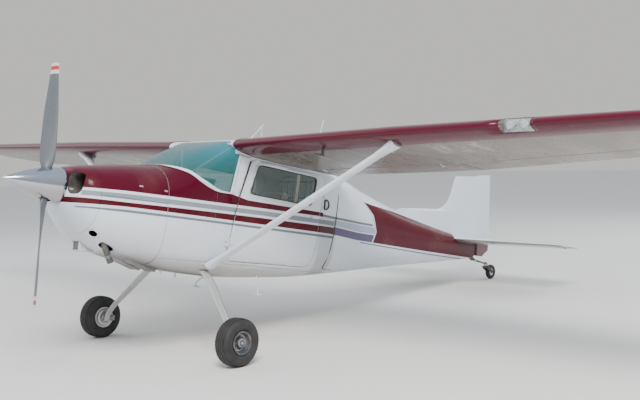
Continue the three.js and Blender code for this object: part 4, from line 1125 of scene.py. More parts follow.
def doors():
    made = shell(640, 2400, WALL - 2, step=40)
    carve(made, Shape().slab(DOOR, (0, 800)), "INTERSECT")
    carve(made, Shape().slab(WINDOW, (-50, 850)))
    made.name = "door"
    on_both_doors(made, "fuselage", "door", True)
    frame_piece = ring_on_skin(WINDOW, 1, 30, -3, 3.0, "window frame")
    on_both_doors(frame_piece, "white")
    gasket = ring_on_skin(WINDOW, -7, 2, -18, 4.0, "window gasket")
    on_both_doors(gasket, "seal")
    pane = body(900, 2200, -8, 30).mesh("window pane")
    carve(pane, body(890, 2210, -13, 30))
    carve(pane, Shape().slab(grown(WINDOW, -0.5), (0, 800)), "INTERSECT")
    on_both_doors(pane, "window", "door_window")


def windscreen():
    made = body(110, 866, -2, 22).mesh("windscreen")
    carve(made, body(100, 876, -8, 22))
    carve(made, both(grown(WINDSCREEN, -0.5)), "INTERSECT")
    finished(made, "windscreen", "windscreen")
    strip = body(60, 890, 3.0, 22).mesh("windscreen strip")
    carve(strip, body(50, 900, -1.0, 22))
    carve(strip, both(grown(WINDSCREEN, 22)), "INTERSECT")
    carve(strip, both(grown(WINDSCREEN, -12)))
    carve(strip, both([(40, 560), (900, 560), (900, 1000), (40, 1000)]))
    finished(strip, "fuselage")


doors()
windscreen()
print("Doors, frames and glass made")
# %% [markdown]
# ## Wings
# A wing is one family of aerofoil sections. The fixed part ends in a hollow cove round each hinge
# line, and the flap or aileron starts with a round nose on the same axis, so that it turns in the
# cove without ever touching. Shallow beads stiffen the moving skins, as on the real ones.

# %% The aerofoil and its places
# Span station, leading edge station, chord, twist, thickness factor
WING = np.array([(534, 729, 1626, 3.6, 1), (2540, 729, 1626, 3.6, 1), (5330, 842, 1150, 3.2, 1),
                 (5430, 905, 1000, 3.2, 0.93), (5470, 965, 860, 3.2, 0.66), (5486, 1010, 760, 3.2, 0.3)],
                float)
ROOT_LEVEL, DIHEDRAL = 652, math.tan(math.radians(1.5))
CAMBER, THICKNESS, HINGE = 0.02, 0.12, 0.74
FLAP, AILERON = (600, 2500), (2560, 5240)
LIGHT_Y = (3660, 3940)             # the port landing light's place along the wing
LIP = 1.5                          # how far the fixed skin stands over the moving one


def camber(x):
    ahead = CAMBER / 0.16 * (0.8 * x - x * x)
    return np.where(x < 0.4, ahead, CAMBER / 0.36 * (0.2 + 0.8 * x - x * x))


def half_thickness(x):
    x = np.clip(x, 0, 1)
    return 5 * THICKNESS * (0.2969 * np.sqrt(x) - 0.126 * x - 0.3516 * x**2 + 0.2843 * x**3 - 0.1015 * x**4)


def wing_row(y):
    return [np.interp(y, WING[:, 0], WING[:, k]) for k in range(1, 5)]


def wing_points(y, x, h):
    """Places on the section at a span station, by chord fraction and height over the chord."""
    leading, chord, twist, _ = wing_row(y)
    c, d = math.cos(math.radians(twist)), math.sin(math.radians(twist))
    x, h = np.broadcast_arrays(np.asarray(x, float), np.asarray(h, float))
    level = ROOT_LEVEL + (y - WING[0, 0]) * DIHEDRAL
    return np.stack([leading + chord * (x * c + h * d), np.full_like(x, y),
                     level + chord * (h * c - x * d)], -1)


def spaced(a, b, count):
    """Fractions from a to b, closer together at the leading edge."""
    return a + (b - a) * (1 - np.cos(np.linspace(0, np.pi / 2, count)))


def fixed_ring(y, lips=None, grow=0.0):
    """The fixed wing's section: whole, or ending in a cove with its two lips ahead of the hinge."""
    _, chord, _, factor = wing_row(y)
    raise_by = (LIP + grow) / chord
    top, bottom = (HINGE - lip / chord for lip in lips) if lips else (1.0, 1.0)
    upper, lower = spaced(0, top, 30)[::-1], spaced(0, bottom, 30)[1:]
    over = wing_points(y, upper, camber(upper) + factor * half_thickness(upper) + raise_by)
    under = wing_points(y, lower, camber(lower) - factor * half_thickness(lower) - raise_by)
    if lips:
        radius = float(half_thickness(HINGE)) + 0.3 / chord
        high, low = (math.asin(min(1.0, lip / (radius * chord))) for lip in lips)
        turn = np.linspace(1.5 * np.pi - low, np.pi / 2 + high, 11)
        cove = wing_points(y, HINGE + radius * np.cos(turn), camber(HINGE) + radius * np.sin(turn))
    else:
        cove = np.repeat((over[:1] + under[-1:]) / 2, 11, axis=0)
    return np.concatenate([over, under, cove])


def moving_ring(y, bead=0.0):
    """A flap's or aileron's section: a round nose on the hinge, then the wing's own surface."""
    chord = wing_row(y)[1]
    radius = float(half_thickness(HINGE)) - 0.6 / chord
    x = np.linspace(1.0, HINGE, 14)
    swell = bead / chord * np.clip((x - HINGE - 0.055) / 0.02, 0, 1) * np.clip((0.985 - x) / 0.03, 0, 1)
    over = wing_points(y, x, camber(x) + half_thickness(x) + swell)
    turn = np.linspace(np.pi / 2, 1.5 * np.pi, 15)[1:-1]
    nose = wing_points(y, HINGE + radius * np.cos(turn), camber(HINGE) + radius * np.sin(turn))
    under = wing_points(y, x[::-1], camber(x[::-1]) - half_thickness(x[::-1]) - swell[::-1])
    return np.concatenate([over, nose, under])


def beads(y0, y1, pitch=63.0, height=2.2, rest=40.0):
    """Span stations with the height of the stiffening beads at each."""
    stations = [y0, y0 + rest]
    count = round((y1 - y0 - 2 * rest) / pitch)
    for i in range(count):
        start, end = (y0 + rest + (y1 - y0 - 2 * rest) * k / count for k in (i, i + 1))
        stations += [start + (end - start) * t for t in (0.2, 0.35, 0.5, 0.65, 0.8)]
    stations += [y1 - rest, y1]
    inside = [(y - y0 - rest) / (y1 - y0 - 2 * rest) * count % 1 for y in stations]
    return [(y, height * max(0.0, math.cos((t - 0.5) * math.pi / 0.6)) if y0 + rest < y < y1 - rest else 0.0)
            for y, t in zip(stations, inside)]


# %% Fixed wings
FLAP_LIPS, AILERON_LIPS = (3, 56), (30, 30)
CLEAR = 5                          # between the ends of a moving surface and its bay


def wing():
    runs = [((534, FLAP[0] - CLEAR), None), ((FLAP[0] - CLEAR, FLAP[1] + CLEAR), FLAP_LIPS),
            ((FLAP[1] + CLEAR, AILERON[0] - CLEAR), None),
            ((AILERON[0] - CLEAR, AILERON[1] + CLEAR), AILERON_LIPS),
            ((AILERON[1] + CLEAR, 5330), None)]
    rings = []
    for (y0, y1), lips in runs:
        rings += [fixed_ring(y, lips) for y in np.linspace(y0, y1, max(2, round((y1 - y0) / 160) + 1))]
    for y in (5360, 5390, 5415, 5435, 5450, 5461, 5470, 5477, 5482, 5486):
        rings.append(fixed_ring(y))
    return Shape().loft(rings)


def wings():
    form = wing()
    port = form.mesh("wing port", 25)
    low, high = LIGHT_Y
    front = wing_row((low + high) / 2)[0]
    carve(port, box((front - 60, front + 100), (low, high), (500, 1000)))
    finished(port, "wing", "wing_left")
    finished(form.mirrored().mesh("wing starboard", 25), "wing", "wing_right")


def moving_surface(name, node, span, **kind):
    form = Shape().loft([moving_ring(y, bead) for y, bead in beads(*span, **kind)])
    for side, piece in (("left", form), ("right", form.mirrored())):
        finished(piece.mesh(f"{name} {side}", 40), "wing", f"{node}_{side}", body=f"{node}_{side}")


def landing_light():
    """Two lamps in a bay of the port leading edge, behind a clear cover."""
    low, high = LIGHT_Y
    front = wing_row((low + high) / 2)[0]
    rings = [fixed_ring(y, grow=-LIP) for y in np.linspace(low + 1, high - 1, 9)]
    cover = Shape().loft(rings).mesh("lamp cover", 25)
    carve(cover, Shape().loft([fixed_ring(y, grow=-LIP - 3) for y in (low - 5, high + 5)]))
    carve(cover, box((front - 60, front + 99), (low, high), (500, 1000)), "INTERSECT")
    finished(cover, "window", "landing_light")
    level = wing_points((low + high) / 2, 0.03, 0.0)[2]
    back = box((front + 84, front + 96), (low + 3, high - 3), (level - 50, level + 52))
    finished(back.mesh("lamp bay", 35, 2), "foil")
    for y in (low + 75, high - 75):
        bowl = [(4, 22), (22, 17), (34, 4), (37, -2), (40, -2), (40, 6), (25, 22), (4, 26)]
        dish = Shape().turned(bowl, (front + 58, y, level + 2), (1, 0, 0), 40)
        finished(dish.mesh("lamp dish"), "polished")
        glass = Shape().turned([(0.01, -4), (22, -3), (36, 1), (36, 4), (0.01, 4)],
                               (front + 53, y, level + 2), (1, 0, 0), 40)
        finished(glass.mesh("lamp glass"), "lamp")


wings()
moving_surface("flap skin", "flap", FLAP)
moving_surface("aileron skin", "aileron", AILERON, pitch=66.0, height=1.8)
landing_light()
print("Wings, flaps, ailerons and landing light made")

# %% [markdown]
# ## Tail
# The stabilizer and its elevators, and the fin and its rudder, work the same way. The elevators
# have a horn ahead of the hinge at each tip, and their inner ends slope to leave room for the
# rudder. The long ridge ahead of the fin is the fin's own first rows.

# %% Stabilizer and elevators
TAIL_LEVEL, TAIL_HINGE = 74, 6110
STABILIZER = np.array([(0, 5434, 1022, 0.085), (1560, 5585, 700, 0.085), (1600, 5606, 650, 0.072),
                       (1617, 5630, 605, 0.045), (1620, 5642, 585, 0.02)], float)
HORN = {"y": 1520, "s": 5920}
TAIL_TIP = (1540, 1560, 1580, 1600, 1611, 1617, 1620)   # y of the rings at the rounded end


def tail_row(y):
    return [np.interp(y, STABILIZER[:, 0], STABILIZER[:, k]) for k in (1, 2, 3)]


def tail_half(s, y):
    leading, chord, thick = tail_row(y)
    x = np.clip((np.asarray(s, float) - leading) / chord, 0, 1)
    return 5 * thick * chord * (0.2969 * np.sqrt(x) - 0.126 * x - 0.3516 * x**2 + 0.2843 * x**3 - 0.1 * x**4)


def hinge_radius(y):
    return 30 - 10 * y / 1620


def stabilizer_ring(y, end, hollow):
    leading = tail_row(y)[0]
    s = leading + (end - leading) * spaced(0, 1, 24)
    half = tail_half(s, y) + 1.0
    half[0] = 0
    turn = np.linspace(1.5 * np.pi, np.pi / 2, 9)[1:-1]
    depth = hinge_radius(y) + 1.5
    cove = np.stack([TAIL_HINGE + depth * np.cos(turn), TAIL_LEVEL + depth * np.sin(turn)], 1)
    if not hollow:
        cove = np.stack([np.full(7, end), TAIL_LEVEL + half[-1] * np.sin(turn)], 1)
    rows = [(a, TAIL_LEVEL + h) for a, h in zip(s[::-1], half[::-1])]
    rows += [(a, TAIL_LEVEL - h) for a, h in zip(s[1:], half[1:])] + [tuple(p) for p in cove]
    return [(a, y, z) for a, z in rows]


def elevator_ring(y, bead=0.0, nose=TAIL_HINGE):
    leading, chord, _ = tail_row(y)
    end = min(leading + chord, TAIL_HINGE + 2 * (y - 62) + 14)
    s = np.linspace(end, TAIL_HINGE, 14)
    ramp = np.clip((s - TAIL_HINGE - 4) / 25, 0, 1) * np.clip((leading + chord - 8 - s) / 25, 0, 1)
    half = np.maximum(tail_half(s, y), 2.5) + bead * ramp
    radius = float(tail_half(TAIL_HINGE, y)) if nose < TAIL_HINGE else hinge_radius(y)
    turn = np.linspace(np.pi / 2, 1.5 * np.pi, 17)[1:-1]
    front = [(TAIL_HINGE + (TAIL_HINGE - nose + radius) * math.cos(a) if nose < TAIL_HINGE
              else TAIL_HINGE + radius * math.cos(a), TAIL_LEVEL + radius * math.sin(a)) for a in turn]
    rows = [(a, TAIL_LEVEL + h) for a, h in zip(s, half)] + front
    rows += [(a, TAIL_LEVEL - h) for a, h in zip(s[::-1], half[::-1])]
    return [(a, y, z) for a, z in rows]


def tailplane():
    rings = [stabilizer_ring(y, TAIL_HINGE - 3, True) for y in np.linspace(0, HORN["y"] - 6, 20)]
    rings += [stabilizer_ring(y, HORN["s"] - 6, False) for y in (HORN["y"] - 6, *TAIL_TIP)]
    fixed = Shape().loft(rings).both_sides()
    finished(fixed.mesh("stabilizer skin", 30), "tail", "stabilizer")
    stations = beads(62, HORN["y"], 72.0, 2.0, 30.0)
    rings = [elevator_ring(y, bead) for y, bead in stations]
    rings += [elevator_ring(y, 0.0, HORN["s"] + 20) for y in (HORN["y"] + 0.5, *TAIL_TIP)]
    moving = Shape().loft(rings).both_sides()
    moving.tube([(TAIL_HINGE, -90, TAIL_LEVEL), (TAIL_HINGE, 90, TAIL_LEVEL)], 12, 20)
    finished(moving.mesh("elevator skin", 40), "tail", "elevators", body="elevators")


# %% Fin and rudder
# Level, leading edge station
FIN = np.array([(60, 4060), (300, 4120), (371, 4247), (400, 4500), (430, 4800), (463, 5122), (500, 5220),
                (587, 5323), (746, 5408), (940, 5470), (985, 5500)], float)
RUDDER_AXIS = ((6176, -110), (6082, 1120))
RUDDER_END = ((-126, 6335), (-118, 6352), (-60, 6440), (-20, 6497), (171, 6494), (1125, 6398))


def axis_at(z):
    (s0, z0), (s1, z1) = RUDDER_AXIS
    return s0 + (s1 - s0) * (z - z0) / (z1 - z0)


def rudder_nose(z):
    return 26 - 8 * np.clip((z + 110) / 1230, 0, 1)


def fin_half(s, leading, z):
    grow = np.clip((s - leading) / 420, 0, 1)
    limit = (34 - 12 * np.clip((z - 100) / 1000, 0, 1)) * np.clip((s - 4060) / 1400, 0.12, 1)
    return np.maximum(1.5, limit * np.sqrt(np.clip(np.sin(grow * np.pi / 2), 0, 1)))


def fin_ring(z):
    leading = float(eased(FIN, z)[0])
    end = axis_at(z) - 4
    s = leading + (end - leading) * spaced(0, 1, 26)
    half = fin_half(s, leading, z)
    radius = rudder_nose(z) + 1.5
    half[-1] = max(half[-1], radius)
    tilt = np.clip((z - 640) / 345, 0, 1) * (s - 5500) * 0.1375
    turn = np.linspace(1.5 * np.pi, np.pi / 2, 9)[1:-1]
    cove = [(axis_at(z) + radius * math.cos(a), radius * math.sin(a), z + tilt[-1]) for a in turn]
    rows = [(a, h, z + t) for a, h, t in zip(s[::-1], half[::-1], tilt[::-1])]
    return rows + [(a, -h, z + t) for a, h, t in zip(s[1:], half[1:], tilt[1:])] + cove


def rudder_ring(z, bead=0.0):
    axis, radius = axis_at(z), float(rudder_nose(z))
    end = float(np.interp(z, *zip(*RUDDER_END)))
    s = np.linspace(end, axis, 12)
    half = 5 + (radius - 5) * (1 - (s - axis) / (6520 - axis))
    half = half + bead * np.clip((s - axis - 6) / 25, 0, 1) * np.clip((end - 10 - s) / 20, 0, 1)
    half[0] = 3.5
    tilt = np.clip((z - 700) / 400, 0, 1) * (s - 6082) * 0.16 * (z > 700)
    turn = np.linspace(np.pi / 2, 1.5 * np.pi, 15)[1:-1]
    nose = [(axis + radius * math.cos(a), radius * math.sin(a), z + tilt[-1]) for a in turn]
    rows = [(a, h, z + t) for a, h, t in zip(s, half, tilt)] + nose
    return rows + [(a, -h, z + t) for a, h, t in zip(s[::-1], half[::-1], tilt[::-1])]


def upright_tail():
    levels = np.concatenate([np.linspace(60, 371, 10), np.linspace(380, 463, 12), np.linspace(470, 600, 12),
                             np.linspace(620, 985, 14)])
    fin = Shape().loft([fin_ring(z) for z in levels]).mesh("fin skin")
    finished(fin, "tail", "fin")
    stations = [(z, 0.0) for z in (-126, -118, -60)] + beads(-50, 1068, 74.0, 2.0, 24.0) + [(1080, 0.0)]
    finished(Shape().loft([rudder_ring(z, b) for z, b in stations]).mesh("rudder skin", 40),
             "tail", "rudder", body="rudder")


tailplane()
upright_tail()
print("Tail made")
# %% [markdown]
# ## Struts, gear legs, wheels and tailwheel
# One strut a side runs from the belly to the wing, with a cuff at each end. The gear legs are
# tapered spring plates. Each main wheel has a treaded tyre, a two-piece bolted hub, a brake disc
# and a caliper, and the tailwheel hangs on a leaf spring in a small steerable fork.

# %% Wing struts
STRUT_FOOT, STRUT_TOP = np.array((642, 500, -610.0)), np.array((915, 2500, 612.0))


def strut_frame(t):
    """A place a fraction of the way up the strut, and the two directions across it."""
    along = unit(STRUT_TOP - STRUT_FOOT)
    flat = unit(np.array((1.0, 0, 0)) - along * along[0])
    return STRUT_FOOT + (STRUT_TOP - STRUT_FOOT) * t, flat, np.cross(along, flat)


def strut_ring(t, chord, depth):
    """A streamlined section across the strut, rounder in front than behind."""
    centre, flat, up = strut_frame(t)
    turn = circle(32)
    taper = depth / 2 * np.sin(turn) * (1 - 0.28 * np.cos(turn))
    return centre + np.outer(chord / 2 * np.cos(turn), flat) + np.outer(taper, up)


def strut():
    rows = [(-0.01, 150, 80), (0.02, 142, 70), (0.045, 128, 58), (0.06, 122, 53), (0.0601, 113, 49),
            (0.12, 112, 48), (0.5, 112, 48), (0.93, 112, 48), (0.9301, 121, 54), (0.96, 132, 60),
            (0.985, 158, 74), (1.02, 190, 92)]
    bar = Shape().loft([strut_ring(*row) for row in rows]).mesh("wing strut", 40)
    carve(bar, body(560, 740, 0.5, 30))
    on_both(bar, "white", "strut")
    studs = []
    for t in (0.03, 0.05, 0.94, 0.955):
        middle, flat, up = strut_frame(t)
        for way in (1, -1):
            for shift in (-28, 0, 28):
                centre = middle + flat * shift
                studs.append((centre + up * way * (27 if 0.04 < t < 0.95 else 31), up * way))
    finished(heads(studs, 4.5, 1.8).both_sides().mesh("strut screws"), "bare")


def on_both(made, look, node=None, follow="airframe"):
    """Finishes a piece of the port side and its mirror on the starboard side."""
    other = mirrored_piece(made, made.name + " right")
    for piece, side in ((made, "left"), (other, "right")):
        finished(piece, look, *([f"{node}_{side}"] if node else []), body=follow.format(side))


def tie_down():
    """The ring plate on the strut's upper fitting, with a shackle through it."""
    s, y, z = wing_points(2450, 0.17, -0.045)
    plate = [(s - 22, z + 26), (s + 22, z + 26), (s + 22, z - 52), (s - 22, z - 52)]
    ring = Shape().slab(rounded(plate, 18, 6), (y - 6, y + 6))
    ring = ring.mesh("tie down ring", 35, 1.5)
    carve(ring, Shape().tube([(s, y - 20, z - 34), (s, y + 20, z - 34)], 10, 28))
    on_both(ring, "bare")


strut()
tie_down()

# %% Gear legs with their brake lines
LEG = np.array([(330, -640, 628, 112, 26), (470, -712, 610, 108, 24), (760, -968, 565, 88, 22),
                (1000, -1220, 520, 70, 20), (1030, -1290, 505, 66, 20), (1032, -1345, 500, 60, 20)], float)


def leg_row(t):
    """y, level, station, width and thickness a fraction of the way down the leg."""
    length = np.concatenate([[0], np.cumsum(np.linalg.norm(np.diff(LEG[:, :2], axis=0), axis=1))])
    table = np.column_stack([length / length[-1], LEG])
    return eased(table, t)


def gear_leg():
    rings = []
    for t in np.linspace(0, 1, 26):
        y, z, s, width, thick = leg_row(t)
        ahead, behind = leg_row(min(1, t + 0.01)), leg_row(max(0, t - 0.01))
        slope = unit(ahead[:2] - behind[:2])
        ny, nz = -slope[1], slope[0]
        turn = circle(28)
        across = width / 2 * np.sign(np.cos(turn)) * np.abs(np.cos(turn)) ** 0.55
        deep = thick / 2 * np.sign(np.sin(turn)) * np.abs(np.sin(turn)) ** 0.75
        rings.append([(s + a, y + ny * d, z + nz * d) for a, d in zip(across, deep)])
    leg = Shape().loft(rings).mesh("gear leg", 50)
    carve(leg, body(480, 760, 0.5, 30))
    on_both(leg, "gear", "gear_leg")
    line = []
    for t in np.linspace(0.08, 0.96, 24):
        y, z, s, width, thick = leg_row(t)
        line.append((s + width / 2 + 3.5, y, z + 2))
    line += [(AXLE[0] + 62, 1036, -1292), (AXLE[0] + 84, 1040, -1278)]
    pipe = Shape().tube(line, 3.2, 10).mesh("brake line")
    on_both(pipe, "black")
    clips = Shape()
    for t in (0.2, 0.4, 0.6, 0.8):
        y, z, s, width, thick = leg_row(t)
        clips.tube([(s + width / 2 - 4, y - 7, z + 4), (s + width / 2 + 9, y, z + 2)], 5, 10)
    on_both(clips.mesh("brake line clips"), "steel")
    cuff = body(535, 715, 5, 20).mesh("leg cuff")
    carve(cuff, body(530, 720, -1, 20))
    ring = leg_row(0.17)
    low = [(ring[2] + a * 76, ring[0] + b * 44) for a, b in ((1, 1), (-1, 1), (-1, -1), (1, -1))]
    carve(cuff, Shape().loft([[(s, y, z) for s, y in rounded(low, 20, 6)] for z in (-760, -640)]),
          "INTERSECT")
    on_both(cuff, "white")


gear_leg()

# %% Main wheels: treaded tyre, bolted hub, brake disc and caliper
WHEEL = {"radius": 232.0, "width": 184, "rim": 104}
AXIS = (0, 1, 0)


def tyre_profile(radius, width, rim):
    """Radius and distance from the middle, round the outside of a tyre's section."""
    turn = np.linspace(-0.36 * np.pi, 1.36 * np.pi, 30)
    high, half = (radius - rim) / 2, width / 2
    rows = []
    for a in turn:
        c, d = math.cos(a), math.sin(a)
        rows.append((rim + high + high * np.sign(d) * abs(d) ** 0.72, half * np.sign(c) * abs(c) ** 0.86))
    return [(max(rim - 2, r), h) for r, h in rows]


def tread(centre, radius, width, grooves, blocks=0, depth=6.0):
    """Ribs round a tyre, parted by grooves, with a row of small cuts along the shoulders."""
    made = Shape()
    edges = np.linspace(-width / 2, width / 2, grooves + 2)
    for low, high in zip(edges[:-1], edges[1:]):
        middle = abs(low + high) / 2
        top = radius - 0.0014 * middle**2
        profile = [(top - depth - 3, low + 3), (top - 1, low + 2.5), (top, low + 5), (top, high - 5),
                   (top - 1, high - 2.5), (top - depth - 3, high - 3)]
        made.turned(profile, centre, AXIS, 96)
    for side in (1, -1):
        for a in circle(blocks):
            out, along = np.array((math.cos(a), 0, math.sin(a))), np.array((-math.sin(a), 0, math.cos(a)))
            middle = np.asarray(centre) + out * (radius - 16) + np.array((0, side * (width / 2 + 9), 0))
            rows = [[middle + out * u + along * v + np.array((0, side * w, 0)) for u, w in
                     ((-12, -2), (13, -9), (11, -12), (-14, -5))] for v in (-6, 6)]
            made.loft(rows)
    return made


def wheel():
    centre = AXLE
    casing = Shape().turned(tyre_profile(WHEEL["radius"] - 5, WHEEL["width"], WHEEL["rim"]), centre, AXIS, 96)
    for r, h in ((150, 88), (190, 86)):
        for side in (1, -1):
            casing.turned([(r - 2, side * (h - 3)), (r + 2, side * (h - 3)), (r + 1, side * (h + 1.5)),
                           (r - 1, side * (h + 1.5))], centre, AXIS, 96)
    on_both(casing.mesh("tyre casing", 50), "tyre", "tyre", "wheel_{}")
    on_both(tread(centre, WHEEL["radius"], 112, 3, 44).mesh("tyre tread", 40), "tyre", None, "wheel_{}")
    rim = WHEEL["rim"]
    hub = [(20, -60), (40, -60), (42, -34), (60, -28), (rim - 16, -32), (rim - 8, -52), (rim - 8, -74),
           (rim + 9, -80), (rim + 11, -76), (rim + 2, -70), (rim - 1, -40), (rim - 1, 40), (rim + 2, 70),
           (rim + 11, 76), (rim + 9, 80), (rim - 8, 74), (rim - 8, 52), (rim - 18, 34), (60, 26),
           (46, 32), (44, 62), (38, 66), (20, 66)]
    form = Shape().turned(hub, centre, AXIS, 72)
    for a in circle(9):
        spoke = np.array((math.cos(a), 0, math.sin(a)))
        foot = np.asarray(centre) + spoke * 64
        form.turned([(0.01, 22), (9, 22), (9, 34), (6, 37), (0.01, 37)], foot, AXIS, 6)
        form.turned([(0.01, -22), (8, -22), (8, -36), (0.01, -36)], foot, AXIS, 6)
    for a in circle(6, 0.5):
        out, along = np.array((math.cos(a), 0, math.sin(a))), np.array((-math.sin(a), 0, math.cos(a)))
        rows = []
        for u in (44, rim - 15):
            deep = 36 - (u - 44) * 0.02
            section = ((-5, 24), (5, 24), (3, deep), (-3, deep))
            rows.append([np.asarray(centre) + out * u + along * v + (0, w, 0) for v, w in section])
        form.loft(rows)
    form.turned([(0.01, 58), (34, 58), (36, 62), (35, 68), (24, 74), (0.01, 76)], centre, AXIS, 48)
    for a in circle(3):
        spot = np.asarray(centre) + (27 * math.cos(a), 0, 27 * math.sin(a))
        form.turned([(0.01, 66), (3.4, 66), (3.4, 72), (0.01, 73)], spot, AXIS, 8)
    on_both(form.mesh("wheel hub", 40), "rim", "wheel", "wheel_{}")
    disc = Shape().turned([(44, -95), (91.5, -95), (92, -94.5), (92, -91.5), (91.5, -91), (44, -91)],
                          centre, AXIS, 72)
    disc.turned([(40, -92), (52, -92), (52, -52), (40, -52)], centre, AXIS, 40)
    on_both(disc.mesh("brake disc", 35), "bare", None, "wheel_{}")
    valve = Shape().tube([(AXLE[0] - 78, AXLE[1] + 30, AXLE[2] + 20),
                          (AXLE[0] - 76, AXLE[1] + 64, AXLE[2] + 22)], 4, 10)
    on_both(valve.mesh("tyre valve"), "black", None, "wheel_{}")


def brakes_and_axle():
    s, y, z = AXLE
    form = Shape().turned([(0.01, -115.7), (52, -115.7), (58, -113), (58, -106), (0.01, -106)],
                          (s, y, z), AXIS, 48)
    form.turned([(0.01, -113), (19, -113), (19, 70), (17, 72), (0.01, 72)], (s, y, z), AXIS, 32)
    for k in range(4):
        a = math.pi / 4 + math.pi * k / 2
        form.turned([(0.01, -122), (7.5, -122), (7.5, -104), (0.01, -104)],
                    (s + 40 * math.cos(a), y, z + 40 * math.sin(a)), AXIS, 6)
    on_both(form.mesh("axle and flange", 35, 0.8), "steel", "axle")
    plate = rounded([(s + 56, z - 34), (s + 112, z - 30), (s + 114, z + 28), (s + 58, z + 34)], 12)
    caliper = Shape().slab(plate, (1043, 1058))
    cover = rounded([(s + 96, z - 30), (s + 115, z - 28), (s + 115, z + 26), (s + 96, z + 30)], 6, 4)
    caliper.slab(cover, (1054, 1078))
    for dz in (-18, 18):
        caliper.turned([(0.01, -121), (13, -121), (14, -118), (14, -106), (0.01, -106)],
                       (s + 80, y, z + dz), AXIS, 24)
        caliper.turned([(0.01, -125), (5, -125), (5, -119), (0.01, -119)], (s + 104, y, z + dz), AXIS, 6)
    on_both(caliper.mesh("brake caliper", 35, 1.2), "steel")


wheel()
brakes_and_axle()

# %% Tail spring, fork and tailwheel
CASTER = (6480, -262)


def on_caster(d, y=0.0):
    """A point on the fork's upright turning axis, or beside it."""
    tip = math.radians(PITCH)
    return np.array((CASTER[0] - d * math.sin(tip), y, CASTER[1] + d * math.cos(tip)))


def tail_spring():
    rows = [(5930, -112, 40), (6040, -152, 39), (6120, -182, 38), (6220, -197, 36), (6300, -205, 34),
            (6430, -222, 30), (6486, -233, 30)]
    leaves = Shape()
    for first, drop, narrow in ((0, 0, 0), (1, -9.5, 2), (2, -19, 3)):
        rings = []
        for s, z, half in rows[:len(rows) - 2 * first]:
            half -= narrow
            corners = ((-4.2, -half), (-4.2, half), (4.2, half), (4.2, -half))
            rings.append([(s, y, z + drop + h) for h, y in corners])
        leaves.loft(rings)
    made = leaves.mesh("tail spring leaves", 35, 1.0)
    socket = Shape().turned([(13, 8), (29, 8), (30, 10), (30, 46), (24, 50), (13, 50)], on_caster(0),
                            on_caster(1) - on_caster(0), 40)
    socket.slab([(6110, -176), (6160, -184), (6160, -208), (6110, -206)], (-41, 41))
    finished(made, "engine", "tail_spring")
    finished(socket.mesh("tail spring socket", 35, 1.0), "bare")


def tail_fork():
    s, _, z = TAIL_AXLE
    axis = on_caster(1) - on_caster(0)
    form = Shape().turned([(0.01, -24), (28, -24), (30, -21), (30, 4), (27, 5.5), (0.01, 5.5)],
                          on_caster(0), axis, 40)
    form.turned([(0.01, 0), (12, 0), (12, 44), (0.01, 44)], on_caster(0), axis, 24)
    form.turned([(0.01, 51), (15, 51), (15, 60), (9, 64), (0.01, 64)], on_caster(0), axis, 6)
    for side in (1, -1):
        outline = rounded([(CASTER[0] - 26, CASTER[1] - 2), (CASTER[0] + 26, CASTER[1] + 4),
                           (s + 20, z + 12), (s + 16, z - 16), (s - 18, z - 16),
                           (CASTER[0] - 20, CASTER[1] - 36)], 12, 4)
        form.slab(outline, (side * 37, side * 43))
        form.turned([(0.01, 42), (11, 42), (11, 50), (0.01, 51)], (s, 0, z), (0, side, 0), 6)
    form.slab([(CASTER[0] - 24, CASTER[1] - 24), (CASTER[0] + 14, CASTER[1] - 20),
               (CASTER[0] + 16, CASTER[1] - 3), (CASTER[0] - 24, CASTER[1] - 4)], (-43, 43))
    form.turned([(0.01, -46), (7, -46), (7, 46), (0.01, 46)], (s, 0, z), AXIS, 20)
    for side in (1, -1):
        form.block((CASTER[0] - 14, CASTER[0] + 8), sorted((side * 26, side * 62)),
                   (CASTER[1] - 12, CASTER[1] - 6))
    finished(form.mesh("caster fork", 35, 0.8), "engine", "tailwheel_fork", body="tail_caster")


def tail_wheel():
    casing = Shape().turned(tyre_profile(107.0, 62, 52), TAIL_AXLE, AXIS, 72)
    finished(casing.mesh("tailwheel casing", 50), "tyre", "tailwheel_tyre", body="tailwheel")
    ribs = tread(TAIL_AXLE, 108.5, 34, 2, 0, 3.0)
    finished(ribs.mesh("tailwheel tread", 40), "tyre", body="tailwheel")
    hub = [(8.5, -30), (18, -30), (20, -28), (20, -12), (42, -8), (50, -17), (54, -20), (54, 20),
           (50, 17), (42, 8), (20, 12), (20, 28), (18, 30), (8.5, 30)]
    form = Shape().turned(hub, TAIL_AXLE, AXIS, 56)
    for a in circle(5):
        spot = TAIL_AXLE + (31 * math.cos(a), 0, 31 * math.sin(a))
        form.turned([(0.01, -13), (4, -13), (4, 13), (0.01, 13)], spot, AXIS, 6)
    finished(form.mesh("tail hub", 40), "rim", "tailwheel_hub", body="tailwheel")


tail_spring()
tail_fork()
tail_wheel()
print("Struts, gear, wheels and tailwheel made")

# %% [markdown]
# ## Propeller, spinner, engine and exhaust
# The blades twist from root to tip, and the spinner is a polished cone with a cutout for each.
# Behind the inlets the finned cylinders of a flat six show, and a dark pipe leaves through a slot.

# %% Propeller and spinner
PROP = {"station": -1026, "radius": 1146, "roll": 3.45}
SPINNER = {"tip": -1448, "base": -893, "radius": 166}
# Radius, chord, thickness, blade angle
BLADE = np.array([(84, 72, 70, 58), (110, 78, 68, 57), (150, 96, 64, 54), (190, 122, 54, 50),
                  (230, 140, 44, 46), (400, 160, 30, 36), (640, 160, 21, 27), (880, 132, 14, 21),
                  (1070, 102, 10, 17), (1124, 94, 8.5, 16.3), (1141, 80, 7, 16), (1146, 60, 5, 16)], float)


def rolled(made):
    """A form turned about the thrust line to the angle that the propeller stopped at."""
    c, d = math.cos(math.radians(PROP["roll"])), math.sin(math.radians(PROP["roll"]))
    made.points = [(s, y * c - z * d, y * d + z * c) for s, y, z in made.points]
    return made


